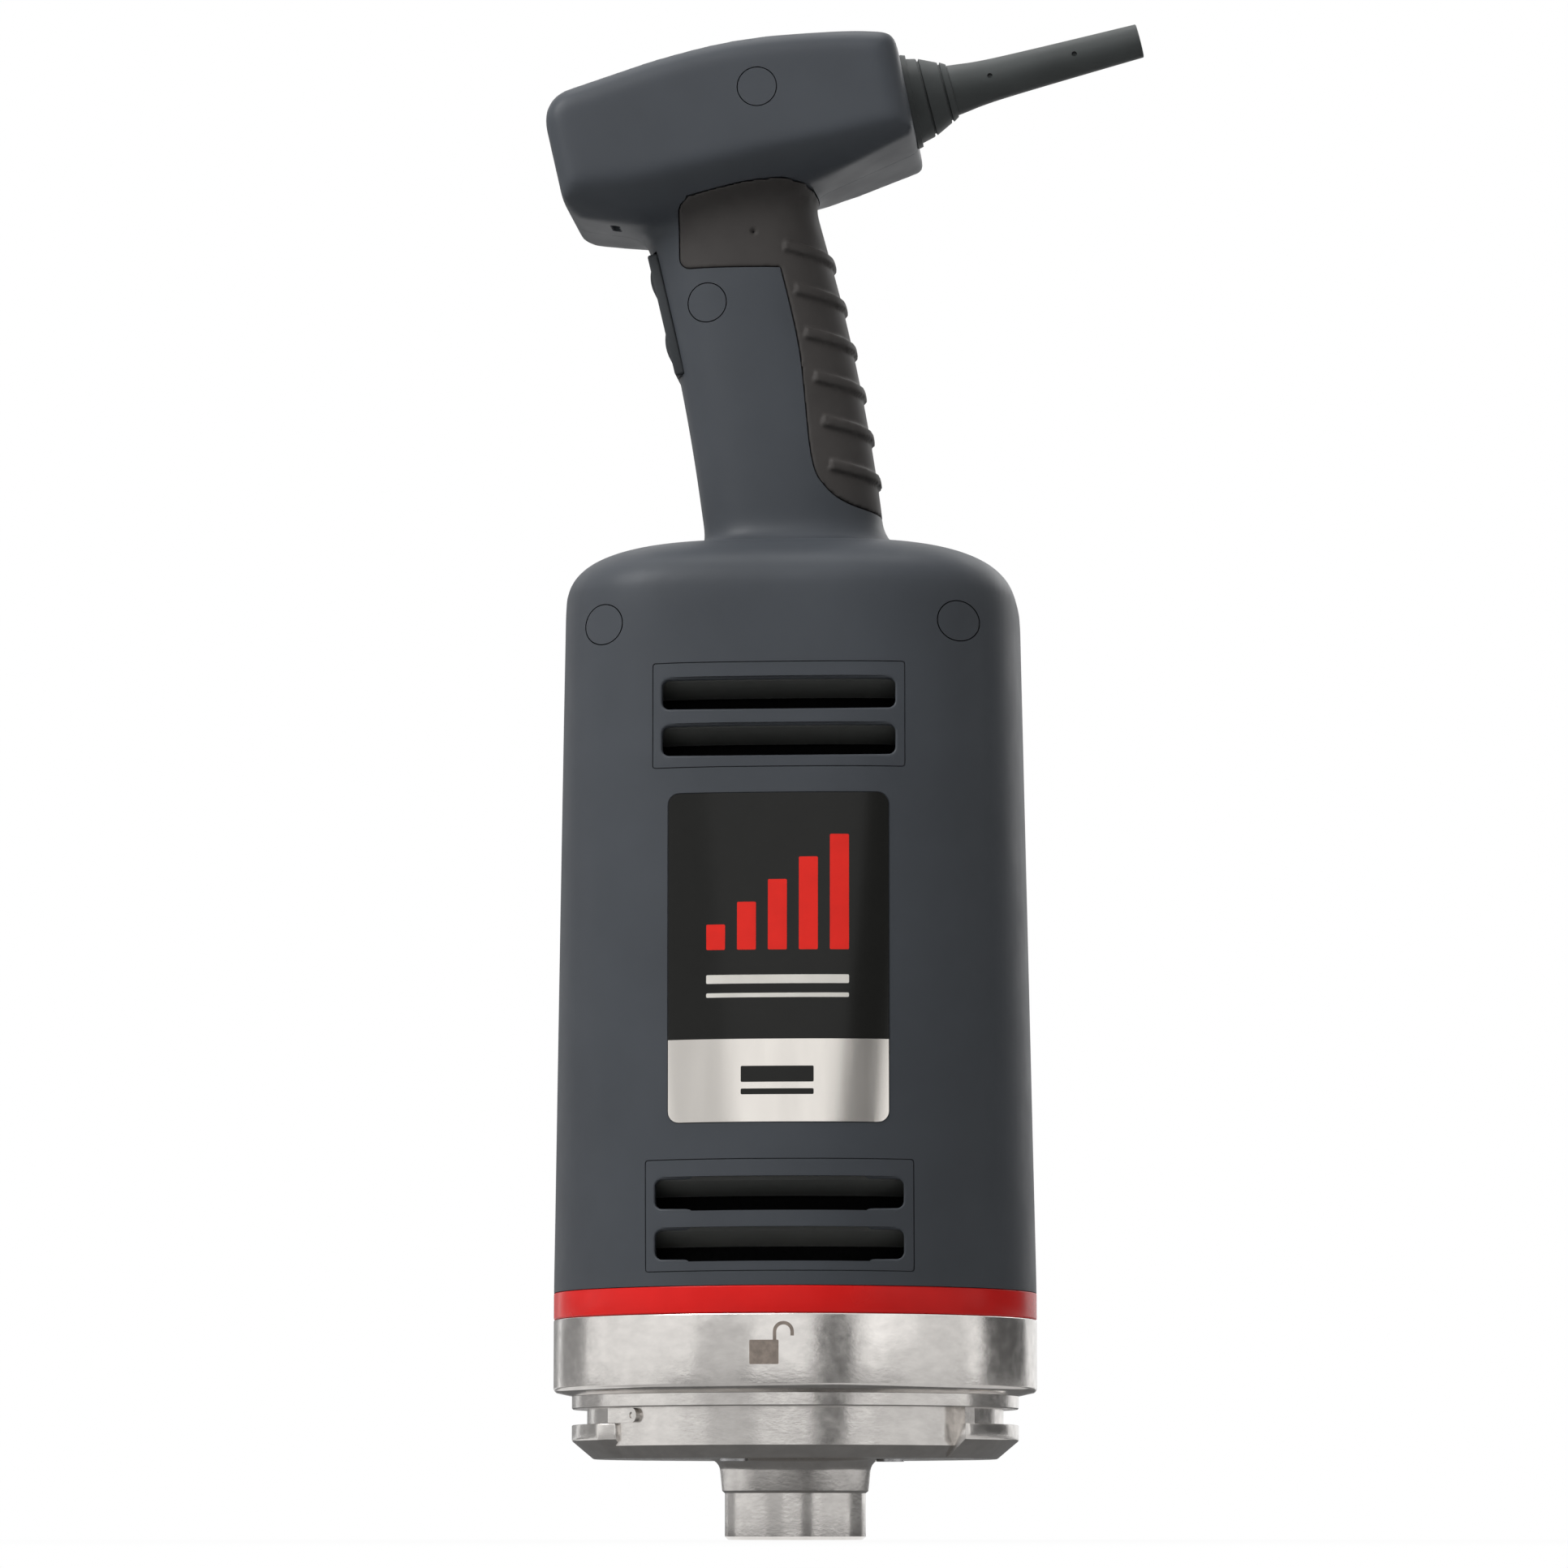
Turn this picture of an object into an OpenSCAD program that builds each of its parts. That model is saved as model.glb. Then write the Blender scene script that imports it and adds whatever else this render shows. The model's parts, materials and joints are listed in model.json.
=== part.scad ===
// Motor unit of a hand-held commercial stick blender.
// Origin: centre of the drive socket's mouth, at the end of the nose.
// +Z runs up the drive shaft to the handle, +X points to the cord side, -Y to the label side.

/* [Nose and bayonet flange] */
// Radius of the nose that centres the blending arm
nose_r = 19.8; // [17:0.1:24]
// Length of the nose below the flange
nose_l = 22.5; // [19:0.5:30]
// Length of the straight part of the nose
nose_straight_l = 13; // [10:0.5:16]
// Radius of the nose where it meets the flange
nose_root_r = 22.7; // [20:0.1:27]
// Radius of the round corner between nose and flange
nose_fillet_r = 4; // [2:0.5:5]
// Radius of the bore in the nose
nose_bore_r = 14.5; // [14:0.1:16]
// Height of the bayonet lugs, with their chamfer
lug_h = 9.5; // [8:0.1:12]
// Height of the chamfer under a lug
lug_chamfer_h = 5.1; // [4:0.1:6]
// Angle that one bayonet lug covers
lug_angle = 75; // [60:1:85]
// Height of the locking groove above the lugs
groove_h = 4.4; // [4.2:0.1:6]
// Depth of the locking groove
groove_depth = 4.3; // [4.2:0.1:5]
// Slope of a lug's lead-in end, in degrees
lead_in = 34; // [0:1:40]
// Angle that the stop block of a lug covers
stop_angle = 4; // [3:0.5:8]
// Height of the ledge above the groove
ledge_h = 3.6; // [3:0.1:5]
// Distance that the lugs stay inside the housing's radius
lug_setback = 5.2; // [4:0.1:8]
// Thickness of the flange's floor
flange_floor_t = 6; // [5:0.5:8]
// Radius of the pocket inside the flange
flange_pocket_r = 46; // [42:0.5:48]

/* [Housing] */
// Radius of the round lower end of the housing
housing_r = 68.1; // [56:0.1:82]
// Height of the metal skirt
skirt_h = 21.4; // [16:0.1:30]
// Height of the trim ring
ring_h = 7.6; // [5:0.1:12]
// Height of the motor housing, from the trim ring to the shoulder
body_h = 190.2; // [160:0.1:240]
// How much narrower the housing is at the shoulder, each side
body_taper = 3.7; // [0:0.1:6]
// Squareness of the housing at the shoulder, 2 is round
corner_power = 3.4; // [2:0.1:5]
// Height of the rounded shoulder
dome_h = 21.1; // [16:0.1:30]
// Squareness of the shoulder's round
dome_power = 2.9; // [2:0.1:4]
// Wall of the motor housing
wall = 3; // [2:0.1:4]

/* [Vents and label] */
// Half width of the upper air slots
upper_slot_half_w = 32.2; // [25:0.1:38]
// Half width of the lower air slots
lower_slot_half_w = 34.1; // [25:0.1:40]
// Height of an upper air slot
upper_slot_h = 8.2; // [5:0.1:9]
// Height of a lower air slot
lower_slot_h = 8; // [5:0.1:10]
// Distance between the two upper slots, centre to centre
upper_slot_pitch = 12.9; // [12:0.1:16]
// Distance between the two lower slots, centre to centre
lower_slot_pitch = 13.8; // [12:0.1:18]
// Distance from the shoulder down to the middle of the upper slots
upper_vent_drop = 34; // [28:0.5:40]
// Distance from the trim ring up to the middle of the lower slots
lower_vent_rise = 18.1; // [16:0.1:28]
// Radius of the corners of an air slot
slot_corner_r = 2; // [1:0.5:3]
// Half width of the label
label_half_w = 30.3; // [24:0.1:36]
// Thickness of the label film
label_t = 0.4; // [0.2:0.1:1]
// Height of the label's silver panel
foil_h = 22.7; // [16:0.1:30]
// Distance from a vent's middle to the label's edge
label_gap = 23.3; // [20:0.1:30]
// Radius of the label's corners
label_corner_r = 3; // [1:0.5:5]

/* [Handle] */
// Distance from the shoulder's top to the underside of the handle's head
hand_space = 90.8; // [78:0.1:110]
// Depth of the grip, front to back
grip_depth = 51.3; // [45:0.1:60]
// Width of the grip
grip_w = 40; // [36:0.5:46]
// Place of the grip's front edge at its foot, left of the drive axis
grip_front_x = 26.6; // [22:0.1:32]
// Slope of the grip at its foot
grip_slope = 0.131; // [0:0.001:0.2]
// Bow of the grip, per mm
grip_bow = 0.0009; // [0:0.0001:0.0015]
// Wall of the handle
grip_wall = 3.5; // [3:0.1:4]
// Half width of the handle's head
head_half_w = 32; // [28:0.5:40]
// Half width of the underside of the handle's head
head_under_half_w = 25; // [22:0.5:30]
// Reach of the head's front, left of the drive axis
head_front_x = 69.5; // [60:0.1:85]
// Reach of the head's back, right of the drive axis
head_back_x = 35.9; // [30:0.1:45]
// Height of the head's crown over its lowest edge
head_h = 55.8; // [50:0.1:64]
// Bow of the head's crown, per mm
head_bow = 0.0023; // [0.001:0.0001:0.003]
// Thickness of the rubber grip pad
pad_t = 1.5; // [1:0.1:2]
// Height of the pad's ribs above its surface
pad_rib_h = 0.8; // [0.4:0.1:1.5]
// Distance between the pad's ribs
pad_rib_pitch = 12.7; // [10:0.1:14]
// Width of one rib
pad_rib_w = 2.8; // [2:0.1:4]

/* [Buttons] */
// Distance that the start trigger travels
trigger_travel = 2; // [1:0.1:2.4]
// Distance that the lock button travels
lock_travel = 1.8; // [1:0.1:2.4]
// Width of both buttons
button_w = 16; // [12:0.5:18]
// Height of the start trigger
trigger_h = 11.8; // [9:0.1:12.5]
// Height of the lock button
lock_h = 13.6; // [11:0.1:14]
// Gap between a button and its window
button_gap = 0.3; // [0.2:0.05:0.5]
// Height of the button frame
bezel_h = 36; // [34:0.5:42]
// Width of the button frame
bezel_w = 22; // [20:0.5:24]

/* [Cord guard] */
// Radius of the bore that takes the mains cord
cord_bore_r = 4; // [3:0.1:4.5]
// Radius of the guard's flange
guard_flange_r = 14.4; // [12:0.1:16]
// Length of the guard outside the head
guard_l = 69; // [45:1:90]
// Rise of the guard's tube, in degrees
guard_rise = 14.2; // [0:0.1:25]
// Radius of the guard's tube where its steps end
guard_root_r = 7; // [6:0.1:9]
// Radius of the guard's tube at its end
guard_tip_r = 4.9; // [4.8:0.1:6]

/* [Motor] */
// Radius of the drive shaft at the lower bearing
shaft_r = 7.5; // [6:0.1:9]
// Radius of the drive shaft at the upper bearing
shaft_top_r = 6; // [5:0.1:7.5]
// Radius of the socket in the drive dog
socket_r = 5; // [4:0.1:6.5]
// Depth of the socket in the drive dog
socket_depth = 12; // [8:0.5:13]
// Outer radius of the lower bearing
lower_bearing_r = 17.5; // [16:0.1:19]
// Width of the lower bearing
lower_bearing_w = 11; // [9:0.5:13]
// Outer radius of the upper bearing
upper_bearing_r = 16; // [14:0.1:18]
// Width of the upper bearing
upper_bearing_w = 10; // [8:0.5:12]
// Radius of the stator's steel stack
stator_r = 47; // [42:0.5:49]
// Length of the stator's steel stack
stator_l = 56; // [40:1:60]
// Radius of the armature's steel stack
armature_r = 27; // [22:0.5:30]
// Air gap between armature and stator
air_gap = 0.6; // [0.4:0.1:1]
// Radius of the commutator
commutator_r = 16; // [14:0.5:19]
// Number of commutator bars
commutator_bars = 24; // [12:2:32]
// Number of fan blades
fan_blades = 9; // [7:1:13]
// Number of armature slots
armature_slots = 12; // [8:2:16]

/* [Hidden] */
$fn = 64;

// Clearances
seat_gap = 0.02; // between a bearing and its pocket
loose_gap = 0.3; // between parts that only stand next to each other
skin_gap = 0.05; // under a film or a pad
over = 1; // how far a cutting body runs past what it cuts

// Heights of the stack, from the nose up
flange_z = nose_l;
lug_top_z = flange_z + lug_h;
ledge_z = lug_top_z + groove_h;
skirt_z = ledge_z + ledge_h;
ring_z = skirt_z + skirt_h;
body_z = ring_z + ring_h;
dome_z = body_z + body_h;
top_z = dome_z + dome_h;
floor_z = flange_z + flange_floor_t;
web_h = 6;
web_z = skirt_z + web_h;

// Radii that follow the housing
lug_r = housing_r - lug_setback;
neck_r = lug_r - groove_depth;
shoulder_half_w = housing_r - body_taper;
spigot_r = housing_r - wall - loose_gap;
spigot_t = 3.8;
spigot_top_z = body_z + 5;
rib_z = body_z + 1;
rib_h = 2;

// Motor stack
bell_t = 3;
bell_floor_t = 4;
hub_r = 33;
lower_bearing_z = web_z + bell_floor_t - lower_bearing_w;
fan_z = web_z + 34;
fan_h = 14;
winding_h = 12;
stator_z = fan_z + fan_h + 4 + winding_h + 2;
stator_top_z = stator_z + stator_l;
seat_ring_h = 6;
bolt_r = 2.5;
nut_r = bolt_r + 1;
bell_r = flange_pocket_r;
bolt_circle_r = max(stator_r + bolt_r, bell_r + bell_t + nut_r) + loose_gap;
lug_pad_r = bolt_circle_r + nut_r;
fan_r = bell_r - 2.5;
commutator_z = stator_top_z + winding_h + 2;
commutator_h = 18;
brush_z = commutator_z + commutator_h / 2;
plate_t = 3;
plate_r = 40;
bracket_foot_h = 6;
upper_bearing_z = commutator_z + commutator_h + 8;
bracket_top_z = upper_bearing_z + upper_bearing_w + 2;
bracket_hub_r = upper_bearing_r + 4;
leg_t = 8;
leg_w = 10;
board_z = bracket_top_z + 6;
board_x = 70;
board_y = 58;
board_t = 1.6;
bore_lip = 3.5;
screw_circle_r = nose_root_r + 4.3;
flange_screws_from = -5;
bell_screw_r = 54.5 - 68.1 + housing_r;

// Nose internals
dog_r = nose_bore_r - 2.5;
dog_l = 19;
dog_shaft_r = shaft_top_r;
bore_top_z = nose_l - 2.5;
seal_r = 15;
seal_hole_r = 10;
pin_r = 1.5;

// Vents and label
upper_vent_z = dome_z - upper_vent_drop;
lower_vent_z = body_z + lower_vent_rise;
label_z = lower_vent_z + label_gap + 3;
label_top_z = upper_vent_z - label_gap + 2;
foil_z = label_z + foil_h;

// Screws along Y that close the two shells, and their plugs
corner_x = shoulder_half_w - 14.9;
corner_z = dome_z - 6.7;
plug_r = 5.75;
plug_boss_r = plug_r + 1.5;
plug_t = 2;
screw_r = 2;
screw_head_r = 3.8;
screw_head_h = 3;

// Handle
foot_z = dome_z + 32.5;
head_z = top_z + hand_space;
under_z = head_z - 3.6;
pad_top_z = head_z + 4.4;
grip_top_z = head_z + 18.4;
button_z = under_z - 19.4;
button_lean = atan(grip_slope + 2 * grip_bow * (button_z - foot_z));
bezel_out = 0.8;
bezel_t = 3;
button_out = 1.7;
lip_x = bezel_t - bezel_out + loose_gap;
lip_t = 1.5;
lip_w = 1;
stem_r = 2.5;
post_x = 10.6;
post_z = 0.8;
carrier_x = post_x + screw_head_r + 1.6 + 2 * loose_gap;
carrier_t = 2;
trigger_z = 10;
lock_z = -9.2;
switch_w = 10;
switch_depth = 10;
switch_h = 11;
guard_x = head_back_x - 3.6;
guard_z = head_z + 40;
guard_tilt = 11.2;
guard_neck_r = guard_flange_r - 4;
clamp_x = guard_x - 24.4;
clamp_z = guard_z - 9;
clamp_screw_y = 9;
clamp_screw_r = 1.6;

grip_post_x = grip_front(button_z) + post_x * cos(button_lean) + post_z * -sin(button_lean);
grip_post_z = button_z + post_x * sin(button_lean) + post_z * cos(button_lean);

// Counts of points on the lofted rings
ring_steps = 72;
grip_steps = 40;
dome_steps = 8;

// ---------- formulas of the lofted housing ----------

// Radius of a superellipse with half width a and power n at angle t
function super_r(a, n, t) = a / pow(pow(abs(cos(t)), n) + pow(abs(sin(t)), n), 1 / n);
function super_ring(a, b, n, steps) = [
    for (i = [0:steps - 1])
        let (t = 360 * i / steps, r = super_r(1, n, t))
        [a * r * cos(t), b * r * sin(t)]
];
function body_power(z) = 2 + (corner_power - 2) * max(0, min(1, (z - body_z) / body_h));
function body_half_w(z) = housing_r - body_taper * max(0, z - body_z) / body_h;
// Each ring is [half depth, half width, power, height, middle]; the shoulder's round ends at end_angle
function body_rings(grow, start_z, end_angle) = concat(
    [for (i = [0:4])
        let (z = start_z + (dome_z - start_z) * i / 4, w = body_half_w(z) + grow)
        [w, w, body_power(z), z, 0]],
    [for (i = [1:dome_steps])
        let (t = end_angle * i / dome_steps)
        let (w = (shoulder_half_w + grow) * pow(cos(t), 2 / dome_power))
        [w, w, corner_power, dome_z + (dome_h + grow) * pow(sin(t), 2 / dome_power), 0]]
);
// Half depth of the housing at a place across its front
function front_y(x, z, grow) =
    let (a = body_half_w(z) + grow, n = body_power(z))
    pow(pow(a, n) - pow(abs(x), n), 1 / n);

module loft(rings, steps) {
    count = len(rings);
    points = [
        for (r = rings)
            for (p = super_ring(r[0], r[1], r[2], steps))
                [p[0] + r[4], p[1], r[3]]
    ];
    sides = [
        for (j = [0:count - 2])
            for (i = [0:steps - 1])
                let (k = (i + 1) % steps)
                [j * steps + i, (j + 1) * steps + i, (j + 1) * steps + k, j * steps + k]
    ];
    bottom = [for (i = [0:steps - 1]) i];
    top = [for (i = [0:steps - 1]) count * steps - 1 - i];
    polyhedron(points, concat([bottom], sides, [top]));
}

module body_form(grow, start_z, end_angle) {
    loft(body_rings(grow, start_z, end_angle), ring_steps);
}

// ---------- formulas of the handle ----------

function grip_shift(z) = grip_slope * (z - foot_z) + grip_bow * pow(z - foot_z, 2);
function grip_front(z) = -grip_front_x - grip_shift(z);
function grip_middle(z) = grip_front(z) + grip_depth / 2;

// Ring of the grip at height z, grown outwards by grow
function grip_ring(z, grow) = [grip_depth / 2 + grow, grip_w / 2 + grow, 2.7, z, grip_middle(z)];

module grip_form(grow) {
    low = dome_z + 8;
    step = (grip_top_z - low) / 9;
    for (i = [0:8])
        hull()
            loft([grip_ring(low + i * step, grow), grip_ring(low + (i + 1) * step, grow)], grip_steps);
}

// Height of the head's crown over a place along it
function crown_z(x) = head_z + head_h - head_bow * pow(x - 25, 2);
head_front_points = [
    [-head_front_x, head_z + 31.5],
    [-head_front_x + 2, head_z + 36.4],
    [-head_front_x + 6.8, head_z + 39.2]
];
head_crown_points = [for (x = [-52, -38, -24, -10, 5, 18, 27]) [x, crown_z(x)]];
head_back_points = [
    [head_back_x - 6, crown_z(27) - 2.5],
    [head_back_x - 5, crown_z(27) - 6.5],
    [head_back_x, head_z + 24.4]
];
head_crease_points = [
    [head_back_x - 3, head_z + 22.6],
    [-18.6, head_z + 14.5],
    [-head_front_x + 5, head_z + 7]
];
head_under_points = [
    [head_back_x - 2.4, head_z + 22.8],
    [head_back_x - 8, head_z + 19.8],
    [-42, head_z],
    [-54, head_z + 0.6],
    [-head_front_x + 8.2, head_z + 4.1],
    [-head_front_x + 4.7, head_z + 13.4]
];

// The head's side outline as a plate across Y, grown outwards all round
module head_slab(points, half_w, grow, inset) {
    rotate([90, 0, 0])
        linear_extrude(2 * (half_w + grow), center = true)
            offset(delta = grow + inset)
                polygon(points);
}

module head_form(grow) {
    side = concat(head_front_points, head_crown_points, head_back_points, head_crease_points);
    whole = concat(head_front_points, head_crown_points, head_back_points, head_under_points);
    edge = 6;
    hull() {
        head_slab(side, head_half_w, grow, -edge);
        head_slab(side, head_half_w - edge, grow, 0);
        head_slab(whole, head_under_half_w - edge, grow, 0);
        head_slab(whole, head_under_half_w, grow, -edge);
    }
}

// ---------- shared shapes ----------

// A block along Y with a rounded outline in X and Z
module slot_block(half_w, h, r, z, y0, y1) {
    translate([0, y1, z])
        rotate([90, 0, 0])
            linear_extrude(y1 - y0)
                hull()
                    for (x = [-1, 1], s = [-1, 1])
                        translate([x * (half_w - r), s * (h / 2 - r)])
                            circle(r, $fn = 24);
}

module along_y(place, y0) {
    translate([place[0], y0, place[1]])
        rotate([-90, 0, 0])
            children();
}

module ring(r_out, r_in, z, h) {
    translate([0, 0, z])
        rotate_extrude()
            translate([r_in, 0])
                square([r_out - r_in, h]);
}

module around(count, radius, start = 0) {
    for (i = [0:count - 1])
        rotate([0, 0, start + 360 * i / count])
            translate([radius, 0, 0])
                children();
}

module at_buttons() {
    translate([grip_front(button_z), 0, button_z])
        rotate([0, -button_lean, 0])
            children();
}

module at_guard() {
    translate([guard_x, 0, guard_z])
        rotate([0, 90, 0])
            children();
}

// A round wire wound along +Z: radius of the coil, of the wire, length and turns
module coil_spring(coil_r, wire_r, length, turns) {
    sides = 6;
    steps = 14 * turns;
    points = [
        for (i = [0:steps])
            let (t = 360 * turns * i / steps, z = wire_r + (length - 2 * wire_r) * i / steps)
            for (k = [0:sides - 1])
                let (s = 360 * k / sides, r = coil_r + wire_r * cos(s))
                [r * cos(t), r * sin(t), z + wire_r * sin(s)]
    ];
    walls = [
        for (i = [0:steps - 1])
            for (k = [0:sides - 1])
                let (m = (k + 1) % sides)
                [i * sides + k, i * sides + m, (i + 1) * sides + m, (i + 1) * sides + k]
    ];
    first = [for (k = [0:sides - 1]) sides - 1 - k];
    last = [for (k = [0:sides - 1]) steps * sides + k];
    polyhedron(points, concat([first], walls, [last]));
}

// ---------- housing ----------

module handle_form(grow) {
    grip_form(grow);
    head_form(grow);
}

module housing_form() {
    body_form(0, body_z, 82);
    handle_form(0);
}

module housing_cavity() {
    body_form(-wall, body_z - over, 60);
    handle_form(-grip_wall);
}

// Outline of the rubber pad, seen from the side of the grip
module pad_outline(grow) {
    offset(delta = grow)
        polygon([
            [grip_front(under_z) + 8, under_z + 16],
            [grip_front(under_z) + 8, under_z - 4.6],
            [grip_front(under_z) + 11, under_z - 7.7],
            [grip_front(under_z) + 37.8, under_z - 7.7],
            [grip_front(under_z - 32) + 37.3, under_z - 32],
            [grip_front(under_z - 62) + 34, under_z - 62],
            [grip_front(under_z - 71) + 36, under_z - 71],
            [grip_front(under_z - 76) + 42, under_z - 76],
            [grip_front(under_z - 78.3) + 60, under_z - 78.3],
            [grip_front(under_z - 78.3) + 60, under_z + 16]
        ]);
}

module pad_zone(grow) {
    rotate([90, 0, 0])
        linear_extrude(grip_w + 20, center = true)
            pad_outline(grow);
}

// A closing screw: its place, the depth of the plug's seat, its reach past the seam, its post's radius
corner_seat = front_y(corner_x + plug_r, corner_z, 0) - plug_t;
closing_screws = [
    [[-corner_x, corner_z], corner_seat, 16, 5.5],
    [[corner_x, corner_z], corner_seat, 16, 5.5],
    [[-8.5, head_z + 38.4], head_half_w - plug_t, 12, 5.5],
    [[grip_post_x, grip_post_z], grip_w / 2 - 6.4, 9, 3.4]
];

// Post that a closing screw runs through: boss of the plug, boss of the screw's head, then a waist
module screw_post(screw, side) {
    seat = screw[1];
    if (side < 0) {
        along_y(screw[0], -housing_r)
            cylinder(r = plug_boss_r, h = housing_r - seat + 1, $fn = 32);
        along_y(screw[0], -seat)
            cylinder(r = screw_head_r + 1.6, h = screw_head_h + 1.3, $fn = 32);
        along_y(screw[0], -seat)
            cylinder(r = screw[3], h = seat, $fn = 32);
    } else {
        along_y(screw[0], 0)
            cylinder(r = screw[3], h = housing_r, $fn = 32);
    }
}

// Seat of the plug, seat of the screw's head and the hole, or the threaded hole on the far side
module screw_hole(screw, side) {
    seat = screw[1];
    if (side < 0) {
        along_y(screw[0], -housing_r)
            cylinder(r = plug_r + skin_gap, h = housing_r - seat, $fn = 32);
        along_y(screw[0], -seat - over)
            cylinder(r = screw_head_r + loose_gap, h = over + screw_head_h + loose_gap, $fn = 32);
        along_y(screw[0], -seat)
            cylinder(r = screw_r + loose_gap, h = seat + over, $fn = 32);
    } else {
        along_y(screw[0], -over)
            cylinder(r = screw_r + 0.08, h = screw[2] + 1 + over, $fn = 32);
    }
}

module vent_slots(side) {
    y0 = side < 0 ? -housing_r - over : housing_r / 2;
    y1 = side < 0 ? -housing_r / 2 : housing_r + over;
    for (s = [-1, 1]) {
        slot_block(upper_slot_half_w, upper_slot_h, slot_corner_r,
            upper_vent_z + s * upper_slot_pitch / 2, y0, y1);
        slot_block(lower_slot_half_w, lower_slot_h, slot_corner_r,
            lower_vent_z + s * lower_slot_pitch / 2, y0, y1);
    }
}

module button_window() {
    at_buttons()
        translate([-6, -bezel_w / 2 + 1 - loose_gap, -bezel_h / 2 + 1 - loose_gap])
            cube([14, bezel_w - 2 + 2 * loose_gap, bezel_h - 2 + 2 * loose_gap]);
    at_buttons()
        translate([-6, -bezel_w / 2 - loose_gap, -bezel_h / 2 - loose_gap])
            cube([6 + bezel_t - bezel_out, bezel_w + 2 * loose_gap, bezel_h + 2 * loose_gap]);
}

module guard_passage() {
    at_guard()
        rotate([0, -guard_tilt, 0])
            translate([0, 0, -14])
                cylinder(r = guard_neck_r + loose_gap, h = 24, $fn = 32);
}

// Shelf in the head that the cord clamp is screwed to
module cord_shelf(side) {
    translate([clamp_x - 6, side < 0 ? -head_half_w : clamp_screw_y - 4, clamp_z - 8 - loose_gap])
        cube([12, head_half_w - clamp_screw_y + 4, 8]);
}

module cord_shelf_hole(side) {
    translate([clamp_x, side * clamp_screw_y, clamp_z - 8])
        cylinder(r = clamp_screw_r + 0.08, h = 10, $fn = 24);
}

// One half of the housing: side is -1 for the label side, 1 for the back
module shell_half(side) {
    difference() {
        union() {
            difference() {
                housing_form();
                housing_cavity();
            }
            intersection() {
                housing_form();
                union() {
                    for (s = closing_screws)
                        screw_post(s, side);
                    cord_shelf(side);
                    ring(housing_r - wall + 0.4, housing_r - wall - 1.7, rib_z, rib_h);
                }
            }
        }
        for (s = closing_screws)
            screw_hole(s, side);
        cord_shelf_hole(side);
        vent_slots(side);
        button_window();
        guard_passage();
        intersection() {
            pad_zone(0.15);
            difference() {
                grip_form(4);
                grip_form(-pad_t - skin_gap);
            }
            translate([-200, -200, 0])
                cube([400, 400, pad_top_z]);
        }
        translate([-200, side > 0 ? -200 : 0, 0])
            cube([400, 200, 600]);
    }
}

module front_shell() {
    color("#484c50")
        shell_half(-1);
}

module back_shell() {
    color("#484c50")
        shell_half(1);
}

// The rubber pad wraps the back of the grip, with ribs for the palm
module grip_pad() {
    color("#3e3b3a")
        intersection() {
            translate([-200, -200, 0])
                cube([400, 400, pad_top_z - skin_gap]);
            pad_zone(0);
            difference() {
                union() {
                    grip_form(0);
                    intersection() {
                        grip_form(pad_rib_h);
                        pad_ribs();
                    }
                }
                grip_form(-pad_t);
            }
            not_head();
        }
}

// Everything outside the head, so that the pad ends under it
module not_head() {
    difference() {
        translate([-200, -200, 0])
            cube([400, 400, 600]);
        head_form(skin_gap);
    }
}

module pad_ribs() {
    for (i = [0:5])
        let (z = under_z - 2 - i * pad_rib_pitch)
        translate([grip_front(z) + grip_depth - 8, 0, z])
            rotate([0, 10, 0])
                cube([16, grip_w + 10, pad_rib_w], center = true);
}

module button_bezel() {
    color("#34373a")
        at_buttons()
            difference() {
                translate([-bezel_out, -bezel_w / 2, -bezel_h / 2])
                    cube([bezel_t, bezel_w, bezel_h]);
                button_opening(trigger_z, trigger_h);
                button_opening(lock_z, lock_h);
            }
}

module button_opening(z, h) {
    translate([-5, -button_w / 2 - button_gap, z - h / 2 - button_gap])
        cube([10, button_w + 2 * button_gap, h + 2 * button_gap]);
}

// Caps over the closing screws, flush with the housing
module screw_plugs() {
    color("#45494d")
        intersection() {
            housing_form();
            for (s = closing_screws)
                along_y(s[0], -housing_r)
                    cylinder(r = plug_r, h = housing_r - s[1], $fn = 40);
        }
}

// Pan-head screws that pull the two shells together
module housing_screws() {
    color("silver")
        for (s = closing_screws)
            along_y(s[0], -s[1] + screw_head_h + loose_gap)
                cap_screw(screw_r, screw_head_r, screw_head_h,
                    s[1] - screw_head_h - loose_gap + s[2], 1.5);
}

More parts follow.
